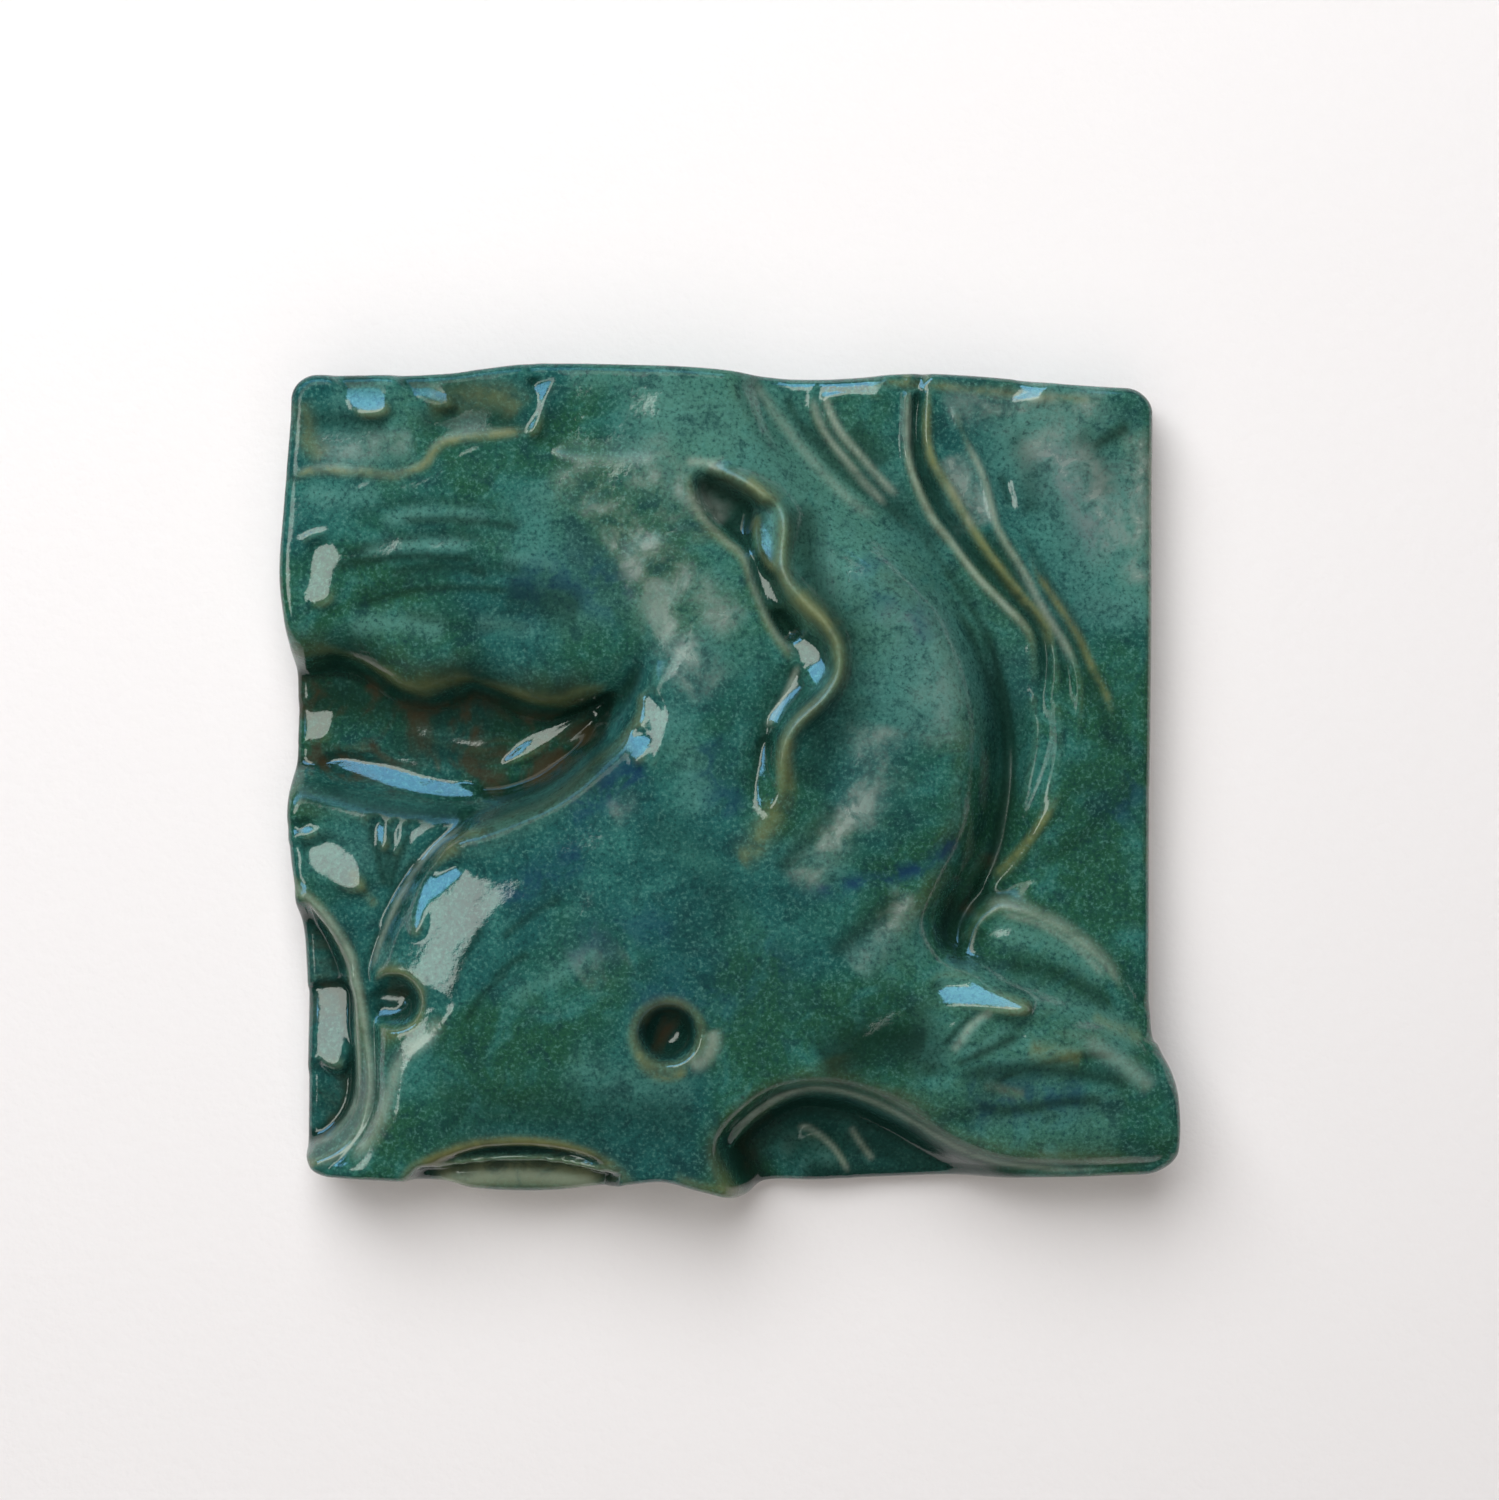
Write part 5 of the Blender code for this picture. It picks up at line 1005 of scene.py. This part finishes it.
DULL_STREAKS = [
    (1.10, 1.0, [(-29.7, -6.2), (-28.5, -5.3), (-23.8, -3.0), (-19.2, -0.3), (-14.5, 3.4), (-12.4, 6.6)]),
    (1.60, 0.9, [(-51.5, -0.1), (-46.3, -1.3), (-40.5, -2.7), (-34.6, -3.9), (-29.3, -3.9), (-24.1, -2.5),
                 (-18.2, 0.4), (-14.1, 4.0), (-12.3, 7.5)]),
    (0.90, 0.9, [(-13.1, 7.4), (-12.0, 9.2), (-11.0, 11.5), (-10.3, 14.4)]),
    (0.80, 0.7, [(-51.0, 33.2), (-47.9, 34.6), (-42.3, 34.4), (-38.6, 34.1), (-35.5, 34.8), (-33.9, 36.0),
                 (-32.7, 37.4), (-30.9, 38.3), (-26.2, 38.9), (-23.1, 39.1)]),
    (0.80, 0.7, [(-51.0, 34.8), (-47.9, 36.4), (-42.3, 36.3), (-38.6, 36.0), (-36.2, 36.7), (-34.8, 37.5),
                 (-33.9, 39.0), (-31.8, 40.0), (-26.2, 40.7), (-23.6, 41.1)]),
    (1.30, 1.0, [(-19.9, 39.1), (-16.7, 38.2), (-9.8, 38.4), (-4.0, 37.4)]),
    (1.80, 1.0, [(-19.0, 36.8), (-14.4, 32.2), (-9.8, 25.3), (-8.1, 19.5), (-8.1, 14.9)]),
    (1.50, 1.0, [(-50.8, 24.2), (-51.2, 30.0), (-51.0, 40.4), (-50.2, 43.8), (-48.8, 45.2), (-44.5, 45.7),
                 (-37.6, 45.7), (-28.3, 46.5), (-22.5, 47.2), (-14.4, 47.3), (-2.9, 47.0), (4.1, 46.3),
                 (10.1, 45.7)]),
    (1.10, 1.0, [(-31.7, -8.6), (-25.9, -6.5), (-21.3, -4.5), (-16.7, -2.2), (-13.0, 0.6)]),
    (0.90, 1.0, [(-51.2, -2.0), (-46.1, -2.8), (-37.9, -4.2), (-31.1, -5.1)]),
    (1.40, 1.0, [(16.8, 28.2), (20.4, 25.3), (24.3, 20.7), (27.2, 15.5), (28.6, 9.2), (28.6, 2.2),
                 (27.2, -4.7)]),
    (2.40, 1.0, [(-29.1, -6.9), (-23.3, -4.2), (-18.0, -1.3), (-13.4, 1.6), (-9.9, 4.0)]),
    (1.20, 1.0, [(-29.9, -1.9), (-26.4, -0.7), (-21.7, 0.8), (-18.8, 2.3), (-16.8, 4.8), (-15.8, 6.9)]),
    (1.80, 1.0, [(-33.8, 40.9), (-29.7, 41.8), (-25.1, 42.8)]),
    (1.60, 1.0, [(15.4, -30.6), (18.5, -28.4), (21.4, -26.0)]),
    (2.20, 1.0, [(-2.9, 34.8), (0.4, 32.5), (3.4, 29.5)]),
    (1.20, 1.0, [(-3.1, 36.9), (-0.3, 36.6), (2.0, 35.5)]),
    (1.40, 0.9, [(37.1, 16.2), (37.8, 10.3), (38.0, 4.5), (37.6, -1.3)]),
    (1.00, 0.9, [(39.7, 15.0), (40.6, 10.9), (40.1, 7.8)]),
    (1.00, 0.9, [(35.2, 10.9), (35.7, 6.9), (36.2, 4.0)]),
    (0.90, 1.0, [(20.3, 45.8), (20.6, 41.7), (21.3, 37.7)]),
    (2.00, 1.0, [(23.2, 25.4), (26.3, 21.3), (29.3, 16.1), (31.0, 10.3), (31.6, 4.0), (30.7, -2.4),
                 (28.7, -8.2), (26.1, -12.9)]),
    (2.40, 0.9, [(-2.9, -44.2), (-0.3, -38.6), (3.5, -35.6), (8.7, -34.4), (14.5, -35.4), (20.3, -38.1),
                 (25.5, -41.3), (30.7, -43.2), (38.9, -44.2)]),
    (2.40, 0.9, [(7.6, -43.1), (10.5, -42.5), (13.5, -43.6)]),
    (1.00, 0.8, [(28.9, -18.0), (30.1, -14.9), (32.2, -13.5), (35.9, -14.7), (39.9, -16.9), (43.4, -19.8),
                 (46.9, -24.2)]),
    (0.90, 1.0, [(17.4, 45.7), (20.8, 46.4)]),
    (0.90, 1.0, [(24.6, 46.3), (28.3, 45.9), (32.4, 45.6)]),
    (0.90, 1.0, [(37.6, 45.5), (44.5, 44.8), (47.8, 43.6), (48.7, 40.4)]),
    (0.80, 1.0, [(-51.4, 15.0), (-50.7, 6.9), (-50.5, -0.1)]),
    (1.00, 0.9, [(-1.4, 36.1), (0.4, 35.6), (3.7, 34.3), (6.1, 32.5), (7.5, 29.7), (7.5, 26.3),
                 (8.1, 23.4), (9.8, 21.1), (12.3, 18.5), (13.9, 15.4), (13.5, 10.8), (11.8, 7.9),
                 (9.3, 5.1), (8.3, 2.2), (8.2, -2.3)]),
    (1.20, 0.9, CREST_LEE),
    (1.50, 1.0, [(12.1, 28.2), (14.4, 25.9), (17.9, 23.0)]),
    (1.20, 1.0, [(-8.6, 9.7), (-7.2, 12.8), (-6.1, 15.5), (-4.0, 18.1)]),
    (1.60, 1.0, [(8.2, -41.9), (10.2, -41.1), (12.3, -42.5)]),
    (1.60, 0.9, [(-0.8, -44.8), (1.2, -40.5), (5.2, -36.8), (10.1, -35.4), (13.7, -35.7), (18.6, -37.2),
                 (22.3, -39.2), (26.0, -41.4), (29.7, -43.6), (33.4, -44.5), (39.0, -44.9),
                 (47.0, -45.0)]),
    (1.50, 0.9, [(26.0, -18.6), (27.8, -16.9), (29.5, -17.4), (30.1, -18.6), (31.8, -18.0)]),
    (1.20, 0.8, [(31.0, -14.7), (33.1, -12.9), (35.5, -11.7)]),
    (1.20, 0.8, [(29.0, 16.1), (31.3, 9.2), (31.9, 1.1), (30.2, -7.1), (27.5, -13.4), (24.9, -18.1)]),
    (1.20, 0.7, [(35.5, 9.2), (36.2, 2.2), (34.3, -4.8), (32.0, -9.4)]),
    (0.70, 0.6, SIDE_STRAND[:5]),
    (0.80, 0.8, [(-42.3, -21.1), (-41.3, -24.0), (-41.2, -30.4), (-40.9, -36.9), (-42.3, -40.9)]),
    (1.20, 0.8, [(13.3, -35.2), (20.2, -34.4), (27.1, -33.4)]),
    (1.00, 0.9, [(-36.2, 44.2), (-29.7, 43.0), (-25.7, 44.2)]),
]
# Painted light: the lit sides of the fins and body, and the brighter upper right, in a paler teal.
PAINTED_LIGHT = [
    (2.0, 0.5, [(-8.0, 9.1), (-4.0, 2.2), (-2.8, -4.7)]),
    (3.0, 0.4, [(17.9, 25.2), (22.5, 16.0), (23.6, 6.8)]),
    (2.0, 0.4, [(-19.0, 18.4), (-12.1, 20.7), (-5.2, 16.1)]),
    (1.0, 0.70, [(-40.3, 29.8), (-34.0, 30.8), (-26.5, 30.1)]),
    (0.8, 0.80, [(-42.7, 26.0), (-36.3, 27.2), (-28.8, 27.0)]),
    (1.0, 0.80, [(-25.9, 25.3), (-22.5, 25.4), (-18.8, 24.4)]),
    (1.4, 0.80, [(-43.9, 17.4), (-37.6, 18.2), (-31.8, 16.9)]),
    (1.0, 0.60, [(-28.9, 18.3), (-21.4, 17.1)]),
    (1.5, 0.50, [(-49.0, 33.4), (-44.4, 32.8), (-39.2, 33.1)]),
    (2.0, 0.70, [(23.0, -21.7), (30.5, -23.7), (40.9, -26.8), (48.9, -31.4)]),
    (2.0, 0.80, [(23.6, -23.1), (28.8, -24.2), (35.1, -26.0)]),
    (1.8, 0.70, [(30.1, -17.2), (38.2, -19.2), (44.8, -23.8)]),
    (1.2, 0.70, [(26.5, -31.4), (31.7, -30.3), (37.4, -30.6)]),
    (1.2, 0.60, [(24.8, -32.3), (26.5, -29.4), (28.8, -27.5)]),
    (1.6, 0.55, [(-28.2, -6.4), (-21.3, -3.0), (-14.4, 1.6)]),
    (1.2, 0.50, [(1.8, 47.9), (5.8, 42.9), (10.4, 36.9), (15.0, 32.3)]),
    (1.4, 0.50, [(-19.1, 46.2), (-9.8, 46.2), (-0.6, 45.6)]),
    (9.0, 0.75, [(-14.3, 43.6), (-0.5, 40.2), (15.6, 25.2), (22.5, 13.7), (23.6, 2.2)]),
    (8.0, 0.80, [(30.9, 44.2), (39.1, 38.4), (46.0, 25.5), (47.2, 16.2)]),
    (5.0, 0.35, [(-2.8, 25.2), (-0.5, 18.3), (-1.7, 11.4)]),
    (5.0, 0.35, [(-23.7, 34.6), (-19.1, 25.3), (-14.4, 16.1)]),
    (7.0, 0.45, [(20.2, -30.0), (29.4, -31.1), (40.9, -32.3)]),
    (4.5, 0.45, [(27.1, -38.0), (37.4, -38.0), (46.6, -39.2)]),
    (0.7, 0.90, [(26.0, -31.4), (28.0, -28.8), (30.2, -26.8)]),
    (1.8, 0.60, [(14.4, -21.9), (17.9, -19.1), (20.2, -17.9)]),
    (6.0, 0.50, [(32.1, 41.8), (41.4, 40.7), (47.2, 36.0)]),
    (0.9, 0.90, [(6.7, -44.6), (7.8, -42.7), (9.5, -42.2), (11.4, -43.6), (12.8, -46.2)]),
    (0.6, 0.80, [(14.4, -41.1), (15.8, -43.1), (17.5, -45.5)]),
    (2.0, 0.35, [(8.8, -44.8), (10.5, -45.8)]),
    (0.6, 0.80, [(27.3, -32.1), (29.9, -30.0), (33.0, -28.1)]),
    (0.6, 0.80, [(28.9, -33.5), (32.8, -32.2), (36.6, -31.2), (41.8, -30.6)]),
    (0.6, 0.60, [(30.2, -39.8), (34.0, -38.8), (37.9, -38.2), (43.2, -37.8)]),
    (1.2, 0.70, [(38.6, -28.5), (43.7, -31.1), (48.2, -34.9)]),
    (1.2, 0.60, [(-20.7, -23.7), (-17.8, -21.4), (-14.3, -19.6)]),
    (1.0, 0.50, [(-24.7, -25.4), (-21.8, -23.7), (-18.9, -22.5)]),
    (2.4, 0.40, [(-18.9, -32.3), (-12.0, -34.6), (-2.8, -35.7)]),
    (3.0, 0.40, [(-35.3, 38.1), (-45.7, 36.3)]),
    (3.0, 0.35, [(-33.2, 43.0), (-46.1, 44.2)]),
    (3.5, 0.35, [(16.7, -20.8), (23.6, -17.3)]),
    (3.0, 0.35, [(-49.7, -8.3), (-35.7, -8.3)]),
    (3.0, 0.30, [(7.5, -5.9), (13.3, -11.7)]),
]

# The glaze runs thin over crests and edges and pools in the dips. Strokes add painted shade in
# valleys and under the fins, painted light on lit sides, and painted highlights and haze reflections.
dull = brushed(DULL_STREAKS)
crests = ease(0.08, 0.45, fine) * 0.28 + ease(0.4, 1.6, broad) * 0.12
dips = ease(0.05, 0.40, -fine) * 0.5 + ease(0.2, 1.8, -broad) * 0.6
left_hollow = ease(8.0, 4.5, clay.z) * ease(5, 0, clay.x)
give("thin", crests * (1 - 0.8 * dull))
give("pool_and_shade", np.maximum(dips, brushed(POOLS_AND_PAINTED_SHADE)))
give("deep", np.maximum(left_hollow, brushed(BROWN_POOLS)))
give("olive", brushed(OLIVE_LINES) * 0.9)
give("dull", dull)
for name, strokes in (("pale", PALE_BREAKS_AND_GLINTS), ("cobalt", COBALT_STREAKS), ("haze_reflection", PAINTED_HAZE_REFLECTIONS),
                      ("dry", DRY_STREAKS), ("light", PAINTED_LIGHT)):
    give(name, brushed(strokes))

# The glaze.
# A glossy copper green over iron-bearing stoneware. It breaks to olive brown where it runs thin
# on crests and edges, turns dark in the hollows, and floats cobalt streaks. Over it lie painted
# shade, painted light, pale painted highlights and a paler, slightly matte painted haze reflection.


def set_input(tree, socket, value):
    """Links an output to a socket, or sets a plain value on it."""
    if hasattr(value, "is_output"):
        tree.links.new(value, socket)
    else:
        socket.default_value = value


def mix_colour(tree, factor, a, b):
    node = tree.nodes.new("ShaderNodeMix")
    node.data_type = "RGBA"
    sockets = {s.name: s for s in node.inputs if s.enabled}
    for name, value in (("Factor", factor), ("A", a), ("B", b)):
        set_input(tree, sockets[name], value)
    return next(s for s in node.outputs if s.enabled)


def number(tree, operation, a, b):
    node = tree.nodes.new("ShaderNodeMath")
    node.operation = operation
    for socket, value in zip(node.inputs, (a, b)):
        set_input(tree, socket, value)
    return node.outputs[0]


def noise(tree, places, scale, detail=3.0, roughness=0.55, distortion=0.0):
    node = tree.nodes.new("ShaderNodeTexNoise")
    node.inputs["Scale"].default_value = scale
    node.inputs["Detail"].default_value = detail
    node.inputs["Roughness"].default_value = roughness
    node.inputs["Distortion"].default_value = distortion
    tree.links.new(places, node.inputs["Vector"])
    return node.outputs[0]


def spread(tree, value, low, high, least=0.0, most=1.0):
    """The least where the value is low, the most where it is high, and smooth between them."""
    node = tree.nodes.new("ShaderNodeMapRange")
    node.interpolation_type = "SMOOTHSTEP"
    limits = {"From Min": low, "From Max": high, "To Min": least, "To Max": most}
    tree.links.new(value, node.inputs["Value"])
    for name, limit in limits.items():
        node.inputs[name].default_value = limit
    return node.outputs["Result"]


def layer_share(tree, name, share=1.0):
    """A painted layer of the mesh, at this share of its strength."""
    node = tree.nodes.new("ShaderNodeAttribute")
    node.attribute_name = name
    return number(tree, "MULTIPLY", node.outputs["Fac"], share)


def tinted(tree, colour, tints):
    """The colour with tints over it, as (noise, where it starts, where it is full, share, tint)."""
    for veil, start, full, share, tint in tints:
        colour = mix_colour(tree, spread(tree, veil, start, full, 0.0, share), colour, tint)
    return colour


def set_bump(tree, shader, height, strength, distance):
    """A bump on the shader from a height, its distance in metres."""
    node = tree.nodes.new("ShaderNodeBump")
    node.inputs["Strength"].default_value = strength
    node.inputs["Distance"].default_value = distance
    tree.links.new(height, node.inputs["Height"])
    tree.links.new(node.outputs["Normal"], shader.inputs["Normal"])


def new_material(name):
    """A material with its tree, its shader and the piece's own coordinates."""
    material = bpy.data.materials.new(name)
    material.use_nodes = True
    tree = material.node_tree
    places = tree.nodes.new("ShaderNodeTexCoord").outputs["Object"]
    return material, tree, tree.nodes["Principled BSDF"], places


# Glaze colours. The darkest also tints painted shade, the pale teal painted light, the pale grey-green
# painted highlights and the pale grey painted haze reflections.
TEAL = (0.012, 0.085, 0.078, 1)
GREEN = (0.014, 0.075, 0.038, 1)
SEA = (0.026, 0.140, 0.118, 1)
LIGHT = (0.084, 0.240, 0.200, 1)
DEEP = (0.007, 0.038, 0.040, 1)
COBALT = (0.006, 0.030, 0.075, 1)
OLIVE = (0.190, 0.200, 0.072, 1)
PALE = (0.360, 0.430, 0.340, 1)
BROWN = (0.040, 0.026, 0.010, 1)
DARK = (0.004, 0.018, 0.011, 1)
HAZE_REFLECTION_GREY = (0.252, 0.290, 0.250, 1)

glaze, tree, shader, where = new_material("copper_green_glaze")
broad_cloud = noise(tree, where, 38, 3, 0.55, 0.4)
cloud = noise(tree, where, 130, 4, 0.6, 0.6)
brush = noise(tree, where, 330, 4, 0.6, 0.5)
fleck = noise(tree, where, 900, 3, 0.6, 0.6)
mottle = noise(tree, where, 2400, 3, 0.6, 0.2)
colour = tinted(tree, TEAL, [
    (broad_cloud, 0.42, 0.60, 1.00, GREEN),
    (cloud, 0.48, 0.72, 1.00, SEA),
    (cloud, 0.46, 0.26, 0.80, DEEP),
])
# Painted light: lit sides and the brighter upper right, in a pale teal.
colour = mix_colour(tree, layer_share(tree, "light", 0.8), colour, LIGHT)
colour = tinted(tree, colour, [
    (brush, 0.50, 0.75, 0.55, SEA),
    (brush, 0.48, 0.28, 0.70, DEEP),
    (fleck, 0.52, 0.70, 0.15, LIGHT),
    (fleck, 0.48, 0.30, 0.40, DEEP),
    (mottle, 0.50, 0.72, 0.50, LIGHT),
    (mottle, 0.50, 0.28, 0.75, DEEP),
])

# Painted layers, broken up by a noise that leaves at least a share of them. The pool layer is pooled
# glaze with painted shade, and the pale layer is pale breaks with painted highlights.
for name, share, veil, low, high, least, tint in (
    ("cobalt", 1.00, brush, 0.38, 0.60, 0.10, COBALT),
    ("pool_and_shade", 0.85, cloud, 0.00, 1.00, 1.00, DARK),
    ("deep", 0.75, cloud, 0.45, 0.62, 0.00, BROWN),
    ("thin", 1.00, cloud, 0.30, 0.60, 0.50, OLIVE),
    ("olive", 0.80, brush, 0.35, 0.60, 0.35, OLIVE),
    ("pale", 0.80, brush, 0.30, 0.60, 0.55, PALE),
):
    veiled = number(tree, "MULTIPLY", layer_share(tree, name, share),
                    spread(tree, veil, low, high, least))
    colour = mix_colour(tree, veiled, colour, tint)
# Painted haze reflection: the room seen hazily in the glaze, painted in pale grey.
haze_reflection = number(tree, "MULTIPLY", layer_share(tree, "haze_reflection"), spread(tree, cloud, 0.36, 0.60, 0.15))
haze_reflection = number(tree, "MULTIPLY", haze_reflection, spread(tree, brush, 0.34, 0.62, 0.2))
colour = mix_colour(tree, number(tree, "MULTIPLY", haze_reflection, 0.62), colour, HAZE_REFLECTION_GREY)
tree.links.new(colour, shader.inputs["Base Color"])

# The painted haze reflections and the dry streaks are less glossy, and the dull streaks mirror little
matte = number(tree, "MAXIMUM", number(tree, "MULTIPLY", haze_reflection, 0.30), layer_share(tree, "dry", 0.42))
rough = number(tree, "ADD", matte, spread(tree, cloud, 0.3, 0.8, 0.05, 0.10))
tree.links.new(rough, shader.inputs["Roughness"])
mirror = number(tree, "SUBTRACT", 0.5, layer_share(tree, "dull", 0.42))
tree.links.new(mirror, shader.inputs["Specular IOR Level"])
shader.inputs["IOR"].default_value = 1.55
ripples = number(tree, "ADD", noise(tree, where, 420, 2), number(tree, "MULTIPLY", mottle, 0.25))
set_bump(tree, shader, ripples, 0.35, 0.0002)

# The bare back.
# Buff stoneware, wiped clean of glaze so that the tile can be glued to a wall, with the dark specks
# of iron in the clay.
BUFF = (0.42, 0.32, 0.22, 1)
SAND = (0.50, 0.40, 0.29, 1)
SPECK = (0.16, 0.10, 0.06, 1)
bare, tree, shader, where = new_material("bare_stoneware")
clay_colour = tinted(tree, BUFF, [
    (noise(tree, where, 90, 4), 0.35, 0.70, 1.0, SAND),
    (noise(tree, where, 1500, 1), 0.66, 0.74, 1.0, SPECK),
])
tree.links.new(clay_colour, shader.inputs["Base Color"])
shader.inputs["Roughness"].default_value = 0.85

tile_mesh.materials.append(glaze)
tile_mesh.materials.append(bare)
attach(tile, "root")
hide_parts(TILE)

# The table.
# A sheet of white paper with a light grain, which the tile lies on.
PAPER_REACH = 1.5
PAPER_GAP = 0.0001
paper_mesh = bpy.data.meshes.new("paper")
bm = bmesh.new()
bmesh.ops.create_grid(bm, x_segments=1, y_segments=1, size=PAPER_REACH)
bm.to_mesh(paper_mesh)
bm.free()
paper = add_object("paper", paper_mesh)
paper.location.z = -PAPER_GAP
white, tree, shader, where = new_material("white_paper")
shader.inputs["Base Color"].default_value = (0.80, 0.78, 0.77, 1)
shader.inputs["Roughness"].default_value = 0.9
shader.inputs["Specular IOR Level"].default_value = 0.2
set_bump(tree, shader, noise(tree, where, 700, 3, 0.6), 0.25, 0.0004)
paper_mesh.materials.append(white)

# The light.
# A bright window low at the upper left with a pale blind above it, both seen in the glaze, and the
# soft daylight and warmer room light that fall on the tile.
WINDOW_TILT = 62.0
WINDOW_PANES = 5
PANE_PITCH = 4.9


def panel(name, tilt, azimuth, distance, size, power, colour, shown_in):
    """A rectangular light, this many degrees from straight up and round from +X. It shows either
    in reflections or in the soft light on things."""
    light = bpy.data.lights.new(name, "AREA")
    light.shape = "RECTANGLE"
    light.size, light.size_y = size
    light.energy = power
    light.color = colour
    lamp = add_object(name, light)
    rise = math.radians(90 - tilt)
    turn = math.radians(azimuth)
    out = distance * math.cos(rise)
    lamp.location = (out * math.cos(turn), out * math.sin(turn), distance * math.sin(rise))
    lamp.rotation_euler = lamp.location.to_track_quat("Z", "Y").to_euler()
    lamp.visible_diffuse = shown_in == "soft light"
    lamp.visible_glossy = shown_in == "reflections"


for pane in range(WINDOW_PANES):
    tilt = WINDOW_TILT + PANE_PITCH * (pane - (WINDOW_PANES - 1) / 2)
    panel(f"window_pane_{pane}", tilt=tilt, azimuth=117, distance=1.0, size=(1.30, 0.077), power=2.6,
          colour=(0.25, 0.62, 1.0), shown_in="reflections")
panel("blind", tilt=37, azimuth=138, distance=1.0, size=(1.30, 0.34), power=6.9,
      colour=(0.95, 1.0, 0.92), shown_in="reflections")
panel("day", tilt=38, azimuth=112, distance=0.68, size=(0.6, 0.6), power=6.0,
      colour=(0.97, 0.98, 1.0), shown_in="soft light")
panel("room_light", tilt=24, azimuth=262, distance=1.2, size=(1.6, 1.6), power=8.0,
      colour=(1.0, 0.93, 0.88), shown_in="soft light")

world = bpy.data.worlds.new("room")
world.use_nodes = True
backdrop = world.node_tree.nodes["Background"]
backdrop.inputs["Color"].default_value = (0.82, 0.86, 1.0, 1)
backdrop.inputs["Strength"].default_value = 0.05
bpy.context.scene.world = world
bpy.context.scene.view_settings.view_transform = "Standard"

# The camera.
# It looks straight down from arm's length, with the tile a little low and left in the frame.
VIEW_WIDTH = 0.1743
CAMERA_PLACE = (0.00285, 0.0034, 0.380)
FOCUS_HEIGHT = 0.010
camera_data = bpy.data.cameras.new("camera")
camera_data.sensor_width = 36.0
camera_data.lens = camera_data.sensor_width * (CAMERA_PLACE[2] - FOCUS_HEIGHT) / VIEW_WIDTH
camera = add_object("camera", camera_data)
camera.location = CAMERA_PLACE
bpy.context.scene.camera = camera
